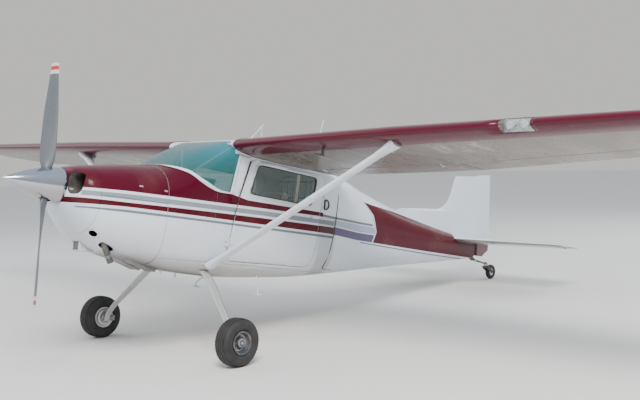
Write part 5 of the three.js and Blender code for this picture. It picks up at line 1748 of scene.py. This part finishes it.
def blade_ring(r, way):
    chord, thick, angle = eased(BLADE, r)
    turn = circle(40)
    lean = 0.0 if r < 150 else min(1, (r - 150) / 80)
    across = chord / 2 * np.cos(turn)
    deep = thick / 2 * np.sin(turn) * (1 - 0.35 * lean * np.cos(turn))
    deep = np.where(deep < 0, deep * (1 - 0.55 * lean), deep)
    c, d = math.cos(math.radians(angle)), math.sin(math.radians(angle))
    pairs = zip(across, deep)
    return [(PROP["station"] - (a * d + b * c), way * (-a * c + b * d), way * r) for a, b in pairs]


def propeller():
    form = Shape()
    for way in (1, -1):
        steps = np.concatenate([np.linspace(84, 240, 14), np.linspace(260, 1100, 30),
                                np.linspace(1110, 1146, 9)])
        form.loft([blade_ring(r, way) for r in steps])
    finished(rolled(form).mesh("blades", 45), "blade", "propeller", body="propeller")
    hub = Shape().turned([(0.01, 893.3), (84, 893.3), (84, 940), (70, 960), (70, 1090), (40, 1110),
                          (0.01, 1112)], (0, 0, 0), (-1, 0, 0), 48)
    for way in (1, -1):
        hub.turned([(0.01, 20), (58, 20), (60, 60), (58, 112), (46, 118), (0.01, 118)],
                   (PROP["station"], 0, 0), (0, 0, way), 40)
        hub.turned([(44, 116), (50, 116), (50, 124), (44, 124)], (PROP["station"], 0, 0), (0, 0, way), 40)
    finished(rolled(hub).mesh("propeller hub", 35), "steel", body="propeller")


def spinner():
    tip, base, radius = SPINNER["tip"], SPINNER["base"], SPINNER["radius"]
    along = np.linspace(0, 0.995, 34)
    outer = [(radius * (1 - t**1.75), base - (base - tip) * t) for t in along]
    inner = [(max(0.5, r - 3), s + 2) for r, s in outer]
    profile = [(r, -s) for r, s in outer] + [(r, -s) for r, s in inner[::-1] if r > 4]
    cone = Shape().turned(profile, (0, 0, 0), (-1, 0, 0), 96).mesh("spinner cone", 35)
    for way in (1, -1):
        carve(cone, Shape().tube([(PROP["station"], 0, way * 40), (PROP["station"], 0, way * 260)], 60, 48))
    turn_about(cone)
    finished(cone, "spinner", "spinner", body="propeller")
    cap = Shape().ball((tip + 5, 0, 0), (7, 6, 6), 20)
    plate = cap.turned([(86, 894.5), (162, 894.5), (164, 897), (162, 900), (86, 900)], (0, 0, 0),
                       (-1, 0, 0), 72)
    finished(rolled(plate).mesh("spinner back plate", 35), "bare", body="propeller")
    screws = []
    for a in circle(16, 0.5):
        out = unit((-0.12, math.cos(a), math.sin(a)))
        screws.append((np.array((base - 22, 164.2 * math.cos(a), 164.2 * math.sin(a))), out))
    finished(rolled(heads(screws, 4.2, 1.2)).mesh("spinner screws"), "steel", body="propeller")


def turn_about(made):
    """Turns a finished mesh about the thrust line to the propeller's angle."""
    roll = Matrix.Rotation(math.radians(PROP["roll"]), 4, "X")
    made.data.transform(LEVEL @ roll @ LEVEL.inverted())


propeller()
spinner()

# %% Engine behind the inlets, and the exhaust
def engine():
    fins, cases = Shape(), Shape()
    for side in (1, -1):
        for s in (-640, -480, -320):
            for k in range(13):
                y = side * (200 + k * 13)
                ring = rounded([(s - 62, 78), (s + 62, 78), (s + 62, -62), (s - 62, -62)], 30, 5)
                fins.slab([(a, b) for a, b in ring], (y, y + side * 3))
            cases.tube([(s, side * 120, 8), (s, side * 366, 8)], 46, 32)
            cases.tube([(s - 26, side * 366, 40), (s + 26, side * 366, 40)], 24, 20)
            cases.tube([(s - 30, side * 130, 86), (s - 34, side * 340, 92)], 11, 14)
        cases.tube([(-700, side * 200, -110), (-220, side * 268, -196)], 22, 18)
    cases.block((-700, -120), (-120, 120), (-80, 104))
    cases.turned([(0.01, 742), (76, 742), (80, 760), (80, 786), (60, 792), (60, 868), (0.01, 868)],
                 (0, 0, 0), (-1, 0, 0), 48)
    finished(fins.mesh("cylinder fins", 35), "engine")
    finished(cases.mesh("engine cases", 35, 2), "engine", "engine_block")
    baffle = Shape()
    for side in (1, -1):
        for y in (132, 372):
            plate = rounded([(-752, -84), (-702, -84), (-702, 118), (-752, 108)], 14, 4)
            baffle.slab(plate, sorted((side * y, side * (y + 2))))
        baffle.block((-754, -744), sorted((side * 124, side * 376)), (-104, -84))
    finished(baffle.mesh("cooling baffles", 35), "black")


def exhaust():
    path = [(-500, 268, -222), (-500, 268, -440), (-499, 268, -478), (-492, 268, -512), (-478, 268, -545),
            (-440, 268, -610), (-404, 268, -672)]
    pipe = Shape().tube(path, [30, 30, 30, 30, 30, 30, 31], 40).mesh("exhaust pipe", 40)
    end = unit((36, 0, -62))
    mouth = np.array(path[-1])
    carve(pipe, Shape().tube([mouth - end * 60, mouth + end * 20], 27.5, 32))
    finished(pipe, "exhaust", "exhaust")
    clamp = Shape()
    for d in (60, 74):
        clamp.turned([(30.5, -4), (34, -4), (34, 4), (30.5, 4)], mouth - end * d, end, 36)
    clamp.block((-452, -430), (300, 316), (-606, -594))
    finished(clamp.mesh("exhaust clamp", 35), "steel")


engine()
exhaust()
print("Propeller, spinner, engine and exhaust made")
# %% [markdown]
# ## The cabin
# Two front seats, a rear bench and the instrument panel show through the windows. Cushions are
# outlines swelled across their width, with piping along both seams. The panel has a loop of round
# instruments, a stack of radios and a row of knobs under a padded edge.

# %% Seats and bench
SEAT_OFFSET = 250


def pillow(outline, low, high, radius=45.0, crown=8.0):
    """A stuffed form: an outline from the side, rounded off towards both ends of its width."""
    base = rounded(outline, radius, 7)
    made = Shape()
    rings = []
    ends = radius * (1 - np.cos(np.linspace(0, np.pi / 2, 7)))
    places = np.concatenate([low + ends, np.linspace(low + radius, high - radius, 11)[1:-1],
                             high - ends[::-1]])
    for y in places:
        near = min(y - low, high - y)
        inset = radius - math.sqrt(max(0.0, radius**2 - (radius - near) ** 2)) if near < radius else 0.0
        swell = crown * (1 - ((y - (low + high) / 2) / ((high - low) / 2)) ** 2)
        rings.append([(s, y, z) for s, z in grown(base, swell - inset * 0.92)])
    made.loft(rings)
    return made


def piping(outline, y, radius=45.0):
    loop = grown(rounded(outline, radius, 7), 1.0)
    return [(s, y, z) for s, z in np.vstack([loop, loop[:1]])]


def seat(y, side):
    cushion = [(1004, -388), (1000, -292), (1046, -262), (1470, -292), (1490, -388)]
    back = [(1470, -330), (1600, 236), (1650, 262), (1692, 232), (1566, -380), (1490, -386)]
    base = pillow(cushion, y - 218, y + 218).mesh(f"seat cushion {side}", 60)
    finished(base, "cloth", f"seat_{side}")
    rest = pillow(back, y - 208, y + 208, 34, 6).mesh(f"seat back {side}", 60)
    finished(rest, "cloth")
    edges = Shape()
    for way in (-1, 1):
        edges.tube(piping(cushion, y + way * 178), 4.5, 8)
        edges.tube(piping(back, y + way * 176, 34), 4.5, 8)
    finished(edges.mesh(f"seat piping {side}"), "seal")
    frame_tubes = Shape()
    for way in (-1, 1):
        rail = y + way * 128
        frame_tubes.tube([(1050, rail, -404), (1510, rail, -404)], 11, 14)
        frame_tubes.tube([(1095, rail, -404), (1080, rail, FLOOR + 14)], 10, 14)
        frame_tubes.tube([(1460, rail, -404), (1475, rail, FLOOR + 14)], 10, 14)
        frame_tubes.block((1000, 1560), (rail - 12, rail + 12), (FLOOR + 1, FLOOR + 12))
    frame_tubes.tube([(1095, y - 128, -440), (1095, y + 128, -440)], 8, 12)
    finished(frame_tubes.mesh(f"seat frame {side}", 35), "bare")


def rear_bench():
    cushion = [(1772, -398), (1766, -292), (1806, -262), (2160, -276), (2204, -396)]
    back = [(2140, -330), (2246, 206), (2292, 226), (2332, 196), (2222, -392), (2150, -394)]
    base = pillow(cushion, -436, 436).mesh("rear bench cushion", 60)
    finished(base, "cloth", "rear_bench")
    rest = pillow(back, -426, 426, 34, 6).mesh("rear bench back", 60)
    finished(rest, "cloth")
    seams = Shape()
    for y in (-390, 0, 390):
        seams.tube(piping(cushion, y), 4.5, 8)
        seams.tube(piping(back, y, 34), 4.5, 8)
    finished(seams.mesh("bench piping"), "seal")


def belts():
    straps, buckles = Shape(), Shape()
    for y in (-SEAT_OFFSET, SEAT_OFFSET):
        for way in (-1, 1):
            path = [(1500, y + way * 226, -420), (1470, y + way * 222, -300), (1420, y + way * 190, -246),
                    (1380, y + way * 90, -234), (1370, y + way * 26, -232)]
            rings = [[(s - 22, b, z - 1.5), (s + 22, b, z - 1.5), (s + 22, b, z + 1.5), (s - 22, b, z + 1.5)]
                     for s, b, z in path]
            straps.loft(rings)
        buckles.block((1345, 1395), (y - 34, y + 30), (-234, -222))
    finished(straps.mesh("belt webbing", 60), "strap")
    finished(buckles.mesh("belt buckles", 35, 3), "polished")
    hanging = Shape()
    for side in (1, -1):
        path = [(1815, side * 452, 520), (1812, side * 455, 380), (1800, side * 458, 200),
                (1790, side * 452, 60), (1780, side * 430, -120), (1800, side * 420, -270)]
        hanging.loft([[(s - 24, y - 1.2, z), (s + 24, y - 1.2, z), (s + 24, y + 1.2, z), (s - 24, y + 1.2, z)]
                      for s, y, z in path])
    finished(hanging.mesh("shoulder straps", 60), "strap")


seat(SEAT_OFFSET, "left")
seat(-SEAT_OFFSET, "right")
rear_bench()
belts()

# %% Floor, bench box, steps and panel
def floor_and_steps():
    corners = ((-470, FLOOR), (470, FLOOR), (470, FLOOR + 6), (-470, FLOOR + 6))
    rings = [[(s, y, z) for y, z in corners] for s in np.linspace(60, 2380, 12)]
    carpet = Shape().loft(rings).mesh("cabin carpet")
    carve(carpet, body(20, 2430, -WALL - 2, 60), "INTERSECT")
    finished(carpet, "carpet")
    bench = box((1762, 2198), (-428, 428), (FLOOR + 1, -401)).mesh("bench box", 35, 3)
    carve(bench, body(1700, 2300, -WALL - 1, 60), "INTERSECT")
    finished(bench, "carpet", "cabin_floor")
    steps, treads = Shape(), Shape()
    for side in (1, -1):
        path = [(1370, side * 400, -690), (1340, side * 450, -752), (1302, side * 508, -818),
                (1296, side * 519, -840), (1300, side * 520, -872)]
        steps.tube(path, 11, 18)
        corners = ((1266, 486), (1350, 486), (1350, 560), (1266, 560))
        plate = rounded([(s, side * y) for s, y in corners], 14)
        treads.loft([[(s, y, z) for s, y in plate] for z in (-884, -873)])
        for s in np.linspace(1278, 1338, 6):
            treads.block((s - 3, s + 3), sorted((side * 494, side * 552)), (-873, -870.5))
    finished(steps.mesh("step tubes"), "white")
    finished(treads.mesh("step treads", 35, 0.8), "white")


# Port side first: y, level, radius
DIALS = [(330, 176, 39), (248, 176, 39), (166, 176, 39), (330, 92, 39), (248, 92, 39), (166, 92, 39),
         (84, 134, 30), (84, 62, 26), (-250, 190, 28), (-318, 190, 28), (-250, 124, 28), (-318, 124, 28),
         (398, 134, 24)]


def panel():
    inner = body(300, 640, -WALL - 3, 30)
    plate = inner.mesh("panel plate", 35)
    carve(plate, box((562, 583), (-600, 600), (2, 246)), "INTERSECT")
    for y, z, r in DIALS:
        carve(plate, Shape().tube([(540, y, z), (600, y, z)], r - 3, 32))
    finished(plate, "panel", "instrument_panel")
    deck = body(40, 640, -WALL - 3, 30).mesh("panel deck", 35)
    outline = rounded([(152, 250), (152, 262), (596, 262), (602, 236), (590, 232), (582, 250)], 6, 4)
    carve(deck, Shape().slab(outline, (-600, 600)), "INTERSECT")
    finished(deck, "seal")
    bezels, faces, marks = Shape(), Shape(), Shape()
    for y, z, r in DIALS:
        bezels.turned([(r - 6, 580), (r, 580), (r, 587), (r - 2, 590), (r - 6, 590)], (0, y, z),
                      (1, 0, 0), 40)
        faces.turned([(0.01, 570), (r - 3, 570), (r - 3, 573), (0.01, 573)], (0, y, z), (1, 0, 0), 32)
        for a in circle(12):
            c, d = math.cos(a), math.sin(a)
            marks.tube([(574, y + c * out, z + d * out) for out in (r - 12, r - 6)], 0.9, 6)
        lean = math.radians((y * 7 + z * 3) % 360)
        marks.tube([(576, y, z), (576, y + math.cos(lean) * (r - 13), z + math.sin(lean) * (r - 13))], 1.3, 6)
    for z in (196, 158, 120, 82):
        bezels.block((580, 594), (-154, 22), (z - 16, z + 16))
        for y in (-142, -122, 8, -10):
            marks.turned([(0.01, 594), (7, 594), (6, 604), (0.01, 605)], (0, y, z), (1, 0, 0), 20)
    for k, y in enumerate(np.linspace(-60, 60, 5)):
        marks.tube([(584, y, 34), (622, y, 34)], 4, 10)
        marks.ball((628, y, 34), (8, 13 - k, 13 - k), 14)
    for y in np.linspace(150, 400, 9):
        marks.tube([(584, y, 26), (598, y, 30)], 3, 8)
    finished(bezels.mesh("dial bezels", 35, 0.8), "black")
    finished(faces.mesh("dial faces"), "panel")
    finished(marks.mesh("dial marks and knobs"), "bare")


def control_wheels():
    for side, y in (("left", SEAT_OFFSET), ("right", -SEAT_OFFSET)):
        form = Shape().tube([(586, y, 100), (700, y, 100)], 12, 24)
        form.turned([(0.01, 586), (24, 586), (24, 592), (14, 596), (0.01, 596)], (0, y, 100), (1, 0, 0), 32)
        half = [(0.2, 70), (0.6, 70), (0.86, 82), (0.98, 110), (1, 150), (1, 188)]
        rim = [(708, y + w * 138, z) for w, z in [(-w, z) for w, z in half[::-1]] + half]
        form.tube(rim, [13, 13, 12, 11, 10, 10, 10, 10, 11, 12, 13, 13], 20)
        form.slab(rounded([(700, 62), (716, 62), (716, 120), (700, 120)], 5, 4), (y - 22, y + 22))
        finished(form.mesh(f"yoke {side}", 45), "black", f"control_wheel_{side}")


def brace():
    """Two tubes from the panel's deck to the corners of the roof."""
    arms = Shape()
    for side in (1, -1):
        arms.tube([(540, 0, 268), (760, side * 333, 562), (822, side * 428, 643)], 12, 24)
    arms.block((518, 566), (-30, 30), (262.5, 271))
    arms.tube([(540, 0, 264), (540, 0, 284)], 20, 24)
    finished(arms.mesh("windscreen brace tubes", 45), "white", "windscreen_brace")


floor_and_steps()
panel()
control_wheels()
brace()
print("Cabin made")
# %% [markdown]
# ## Fittings on the outside
# Small pieces tell the size of an aircraft: hinges, handles and latches, aerials, lights, caps, the
# pitot tube and the cowl flaps. Places on the skin come from the body's own formula, so each
# fitting sits on the surface and leans with it.

# %% Door hinges, handles, latches and seams
def on_skin_plate(outline, side, low, high):
    """A thin plate that follows the side's skin, within an outline of station and level."""
    return [[on_side(s, z, side, out)[0] for s, z in outline] for out in (low, high)]


def oblong(s, z, half, high, radius=None):
    corners = [(s - half, z - high), (s + half, z - high), (s + half, z + high), (s - half, z + high)]
    return rounded(corners, radius or min(half, high), 6)


def door_fittings():
    s, y = DOOR_HINGE["s"], DOOR_HINGE["y"]
    fixed, moving, handle, grip = Shape(), Shape(), Shape(), Shape()
    for z in DOOR_HINGE["levels"]:
        for low, high in ((-30, -16), (16, 30)):
            fixed.tube([(s, y, z + low), (s, y, z + high)], 7, 20)
            fixed.block((s - 44, s), (y - 15, y - 4), (z + low, z + high))
        fixed.tube([(s, y, z - 32), (s, y, z + 32)], 3.4, 12)
        moving.tube([(s, y, z - 14.5), (s, y, z + 14.5)], 7, 20)
        moving.loft(on_skin_plate(oblong(880, z, 72, 14, 5), 1, -2, 5))
    on_both(fixed.mesh("hinge post lugs", 35, 0.5), "fuselage")
    on_both(moving.mesh("hinge straps", 35, 0.5), "fuselage", follow="door_{}")
    handle.loft(on_skin_plate(oblong(2040, 20, 46, 26, 20), 1, -3, 2.5))
    path = [on_side(2078, 20, 1, 2)[0], on_side(2076, 20, 1, 14)[0], on_side(2066, 20, 1, 20)[0],
            on_side(2020, 20, 1, 18)[0], on_side(1976, 20, 1, 15)[0], on_side(1968, 20, 1, 12)[0]]
    grip.tube(path, [9, 9, 8, 7, 6, 4], 16)
    grip.turned([(0.01, -2), (9, -2), (9, 2), (7, 3.5), (0.01, 3.5)], *on_side(2090, -50), 24)
    on_both(handle.mesh("door handle plate", 40), "fuselage", follow="door_{}")
    on_both(grip.mesh("door handle", 45), "polished", follow="door_{}")
    pull = Shape()
    turn = np.linspace(-1.9, 1.9, 21)
    loop = [on_side(2222 + 54 * math.cos(a), 192 + 54 * math.sin(a), 1, 8)[0] for a in turn]
    pull.tube(loop + loop[:1], 9, 10)
    pull.loft(on_skin_plate(oblong(2205, 192, 10, 56, 8), 1, -2, 5))
    on_both(pull.mesh("hand ring", 45), "seal")


def latches():
    plates = Shape()
    for s, z in ((-308, 72), (-34, 62)):
        for side in (1, -1):
            plates.loft(on_skin_plate(oblong(s, z, 20, 8, 4), side, -1, 2.4))
            plates.loft(on_skin_plate(oblong(s, z, 13, 4, 3), side, 2.0, 4.6))
    finished(plates.mesh("cowling latches", 40, 0.4), "bare")


def firewall_line():
    """The joint strip behind the cowling, with its row of rivets."""
    strip = body(8, 30, 1.6, 8).mesh("firewall strip", 40)
    carve(strip, body(0, 40, -1, 8))
    finished(strip, "fuselage")
    rows = []
    for side in (1, -1):
        for z in np.linspace(-560, 240, 34):
            rows.append(on_side(19, z, side, 1.6))
        for z in np.linspace(-500, 120, 26):
            rows.append(on_side(608, z, side))
    finished(heads(rows, 3.2, 1.2, 8).mesh("joint rivets"), "fuselage")


def rear_joint():
    """The dark joint behind the door, and the rubber down the front of the door."""
    joint = Shape()
    for side in (1, -1):
        path = [(2444, 330), (2442, 200), (2438, 49), (2420, -120), (2392, -300), (2356, -470),
                (2350, -510), (2366, -536), (2420, -545), (2560, -540)]
        joint.tube([on_side(s, z, side, 0.2)[0] for s, z in path], [4, 6, 7, 7, 7, 7, 7, 6, 4, 2], 8)
    finished(joint.mesh("panel joint", 50), "seal")
    post = Shape()
    for side in (1, -1):
        rubber = [(1006, 512), (970, 385), (938, 270), (905, 150), (862, -60), (822, -300), (808, -440)]
        post.tube([on_side(s, z, side, -5)[0] for s, z in rubber], [13, 14, 13, 10, 7, 6, 5.5], 12)
    finished(post.mesh("door post rubber", 50), "seal")


door_fittings()
latches()
firewall_line()
rear_joint()

# %% Cowl flaps, chin intake and firewall
CHIN = {"y": 62, "wall": 12, "outline": [(-636, -594), (-560, -600), (-470, -590), (-440, -560), (-440, -480),
                                         (-636, -450)]}


def cowl_flap():
    (y0, y1), (s0, z0), (s1, z1) = (COWL_FLAP[key] for key in ("y", "front", "rear"))
    slope = (z1 - z0) / (s1 - s0)
    plate = Shape()
    rings = []
    for s in np.linspace(s0, s1, 14):
        z = z0 + (s - s0) * slope
        bow = 3.0 * math.sin(math.pi * (s - s0) / (s1 - s0))
        rings.append([(s, y0, z + 3), (s, y0 + 3, z - 3), (s, (y0 + y1) / 2, z - 3 - bow),
                      (s, y1 - 3, z - 3), (s, y1, z + 3), (s, y1 - 6, z + 3),
                      (s, (y0 + y1) / 2, z + 3 - bow), (s, y0 + 6, z + 3)])
    plate.loft(rings)
    side = rounded([(s0 + 50, z0 + 50 * slope), (s1, z1), (s1 + 14, z1 + COWL_FLAP["lip"]),
                    (s0 + 110, z0 - 10)], 8, 4)
    for y in (y0, y1 - 3):
        plate.slab(side, (y, y + 3))
    for y in (y0 + 60, y1 - 60):
        plate.tube([(s0 + 60, y, z0 + 60 * slope + 4), (s1 - 10, y, z1 + 6)], 4, 8)
    plate.tube([(s1, y0, z1), (s1, y1, z1)], 4, 12)
    barrels = Shape()
    for low, high in ((y0 + 1, y0 + 14), (y0 + 42, y1 - 42), (y1 - 14, y1 - 1)):
        barrels.tube([(s0, low, z0), (s0, high, z0)], 5.5, 18)
    lugs = Shape().tube([(s0, y0 + 16, z0), (s0, y0 + 38, z0)], 5.5, 18)
    lugs.tube([(s0, y1 - 38, z0), (s0, y1 - 16, z0)], 5.5, 18)
    for y in (y0 + 27, y1 - 27):
        lugs.block((s0 - 20, s0 - 3), (y - 10, y + 10), (z0 - 4, z0 + 4))
    on_both(plate.mesh("cowl flap plate", 40, 0.6), "fuselage", "cowl_flap", "cowl_flap_{}")
    on_both(barrels.mesh("cowl flap barrels"), "bare", follow="cowl_flap_{}")
    on_both(lugs.mesh("cowl flap lugs", 35), "bare")


def chin_intake():
    half, wall = CHIN["y"], CHIN["wall"]
    case = Shape().slab(rounded(CHIN["outline"], 22, 6), (-half, half)).mesh("chin intake case", 35, 6)
    room = rounded([(-700, -580), (-500, -582), (-500, -300), (-700, -300)], 4, 3)
    carve(case, Shape().slab(room, (wall - half, half - wall)))
    carve(case, body(-760, -300, 0.4, 25))
    finished(case, "fuselage", "chin_intake")
    mesh = Shape()
    for y in np.linspace(-44, 44, 12):
        mesh.tube([(-630, y, -582), (-630, y, -470)], 1.2, 6)
    for z in np.linspace(-576, -476, 12):
        mesh.tube([(-630, -49, z), (-630, 49, z)], 1.2, 6)
    finished(mesh.mesh("intake screen"), "steel")
    back = box((-627, -620), (-49.5, 49.5), (-581, -470)).mesh("intake filter", 35, 1)
    finished(back, "filter")


def firewall():
    plate = body(0.5, 7.5, -6, 7).mesh("firewall plate", 35)
    y0, y1 = COWL_FLAP["y"]
    for side in (1, -1):
        carve(plate, box((-10, 20), sorted((side * (y0 - 5), side * (y1 + 5))), (-900, -560)))
    finished(plate, "steel", "firewall")
    ribs = Shape()
    for y in (-330, -200, -70, 70, 200, 330):
        ribs.tube([(-1, y, -460), (-1, y, 180)], 6, 10)
    for z in (-380, -150, 60):
        ribs.tube([(-2, -430, z), (-2, 430, z)], 6, 10)
    finished(ribs.mesh("firewall ribs"), "steel")


def rear_wall():
    """The quilted wall behind the bench."""
    wall = body(2398, 2438, -WALL - 4, 10).mesh("rear wall", 35)
    carve(wall, box((2390, 2445), (-600, 600), (FLOOR + 3, ROOF - 3)), "INTERSECT")
    finished(wall, "lining", "rear_bulkhead")
    quilt = Shape()
    for y in np.linspace(-400, 400, 9):
        quilt.tube([(2397, y, -520), (2397, y, 500)], 5, 8)
    for z in np.linspace(-500, 480, 6):
        quilt.tube([(2396, -440, z), (2396, 440, z)], 5, 8)
    finished(quilt.mesh("rear wall piping"), "seal")


cowl_flap()
chin_intake()
firewall()
rear_wall()
print("Cowl flaps, intake, firewall and rear wall made")

# %% Aerials, pitot tube, lights and caps
def aerials():
    wires, feet = Shape(), Shape()
    for s, z, ds, dz, thick in ((1345, 733, 272, 304, 7.5), (2447, 580, 156, 693, 7.5),
                                (1608, 711, -9, 289, 5.0)):
        t = np.linspace(0, 1, 9)
        path = [(s + ds * a, 0, z + dz * a) for a in t]
        wires.tube(path, np.linspace(thick, thick * 0.55, 9), 12)
        wires.ball(path[-1], (thick, thick, thick), 12)
        base = skin_z(s, 0)
        for r, low, high in ((26, -3, 5), (16, 5, 16), (9, 16, 30)):
            feet.turned([(0.01, low), (r, low), (r, high - 2), (r - 3, high), (0.01, high)],
                        (s + (ds / dz) * low * 0.3, 0, base), (0, 0, 1), 28)
    finished(wires.mesh("aerial rods", 45), "white", "antenna_front", "antenna_rear")
    finished(feet.mesh("aerial feet", 35), "white")


def pitot():
    s, y, z = wing_points(1640, 0.12, -0.04)
    form = Shape()
    blade = lambda half, thick: [(half * math.cos(a), thick * math.sin(a) * (1 - 0.3 * math.cos(a)))
                                 for a in circle(24)]
    form.loft([[(s + a, y + b, z + level) for a, b in blade(half, thick)]
               for level, half, thick in ((24, 24, 6.5), (-20, 22, 6), (-50, 20, 5.5), (-66, 17, 5))])
    form.tube([(s - 112, y, z - 62), (s - 108, y, z - 62), (s - 60, y, z - 62), (s + 10, y, z - 62),
               (s + 34, y, z - 62)], [5, 8, 9.5, 9.5, 3], 24)
    finished(form.mesh("pitot tube", 45), "black", "pitot_mast")


def wing_fittings():
    lenses, cases, caps, wicks, tabs = Shape(), Shape(), Shape(), Shape(), Shape()
    s, y, z = wing_points(5462, 0.16, 0.0)
    cases.ball((s + 22, y - 2, z), (58, 26, 20), 24)
    lenses.ball((s + 8, y + 6, z), (30, 20, 13), 20)
    for span in (900, 1500):
        x = 0.42
        top = wing_points(span, x, camber(x) + half_thickness(x))
        top2 = wing_points(span, x + 0.02, camber(x + 0.02) + half_thickness(x + 0.02))
        facing = unit(np.cross(top2 - top, (0, 1, 0)))
        facing = facing if facing[2] > 0 else -facing
        caps.turned([(0.01, 0), (48, 0), (48, 3), (44, 5), (0.01, 5)], top, facing, 40)
        caps.turned([(0.01, 4), (30, 4), (28, 9), (0.01, 10)], top, facing, 32)
        caps.block((top[0] - 24, top[0] + 24), (span - 4, span + 4), (top[2] + 8, top[2] + 15))
    for span in (4400, 4800, 5180):
        tail = wing_points(span, 0.995, 0.0)
        wicks.tube([tail + (-12, 0, 4), tail + (14, 0, 0), tail + (86, 0, -8)], [3, 2.6, 1.6], 8)
    on_both(cases.mesh("tip light case"), "white")
    on_both(lenses.mesh("tip light lens"), "lamp")
    on_both(caps.mesh("fuel caps", 35, 0.5), "bare")
    on_both(wicks.mesh("wing wicks"), "seal", follow="aileron_{}")
    for span in (760, 2340):
        hinge = wing_points(span, HINGE, camber(HINGE) - half_thickness(HINGE))
        plate = [(-60, 12), (-56, -8), (4, -26), (14, -16), (8, 2)]
        outline = rounded([(hinge[0] + s, hinge[2] + z) for s, z in plate], 6, 4)
        tabs.slab(outline, (span - 4, span + 4))
    on_both(tabs.mesh("flap hinge plates", 35, 0.6), "bare")


def root_seal():
    """The fairing that closes the gap between the wing's root and the body, and its rubber edge."""
    rings = [fixed_ring(535.5, (30, 30), -LIP)]
    for y, sink in ((518, 2), (500, 5), (480, 10), (462, 18), (448, 30)):
        ring = fixed_ring(535.5, (30, 30), -LIP - sink)
        rings.append(ring + (0, y - 535.5, 0))
    cover = Shape().loft(rings).mesh("root fairing", 40)
    carve(cover, body(680, CABIN_END, 0.6, 30))
    on_both(cover, "white")
    for side in (1, -1):
        strip = Shape()
        ring = fixed_ring(548, (30, 30))
        strip.tube([(s, side * (y - 4), z) for s, y, z in ring[:58]], 4.5, 8)
        finished(strip.mesh("wing root seal " + ("left" if side > 0 else "right")), "seal")


def beacon():
    form, glass = Shape(), Shape()
    top = skin_z(3020, 0)
    form.turned([(0.01, -6), (34, -6), (34, 4), (28, 10), (0.01, 10)], (3020, 0, top), (0, 0, 1), 32)
    glass.turned([(0.01, 8), (24, 8), (23, 26), (17, 38), (8, 43), (0.01, 44)], (3020, 0, top), (0, 0, 1), 32)
    vent = on_top(1180, 200)
    form.turned([(0.01, -4), (40, -4), (40, 2), (30, 8), (0.01, 8)], *vent, 32)
    finished(form.mesh("beacon foot"), "white")
    finished(glass.mesh("beacon glass"), "red_glass")


def belly_fittings():
    drains = Shape()
    for s, y in ((880, 60), (880, -60), (1500, 0), (2050, 0), (2900, 0), (3700, 0)):
        point, facing = on_top(s, y, under=True)
        drains.turned([(0.01, -3), (14, -3), (14, 2), (9, 5), (0.01, 5)], point, facing, 20)
    point, facing = on_top(700, -150, under=True)
    drains.tube([point - facing * 10, point + facing * 46], 7, 16)
    point, facing = on_top(300, 120, under=True)
    drains.tube([point - facing * 10, point + facing * 30, point + facing * 40 + (18, 0, 0)], 6, 14)
    finished(drains.mesh("drains and vents", 40), "bare")


aerials()
pitot()
wing_fittings()
root_seal()
beacon()
belly_fittings()
print("Aerials, lights, caps and drains made")
# %% [markdown]
# ## The studio floor
# The floor is a plain pale sheet far larger than the view.

# %% Floor
def make_floor():
    graph = Graph("studio_floor", Specular_IOR_Level=0.2)
    cloud = graph.noise(0.8, 3, 0.5)
    graph.done(Base_Color=graph.mix(cloud * 0.3, (0.80, 0.79, 0.77), (0.76, 0.75, 0.73)),
               Roughness=0.75 + cloud * 0.1)
    data = bpy.data.meshes.new("floor")
    reach = 60
    data.from_pydata([(-reach, -reach, 0), (reach, -reach, 0), (reach, reach, 0), (-reach, reach, 0)],
                     [], [(0, 1, 2, 3)])
    floor = bpy.data.objects.new("floor", data)
    data.materials.append(graph.material)
    bpy.context.scene.collection.objects.link(floor)


make_floor()
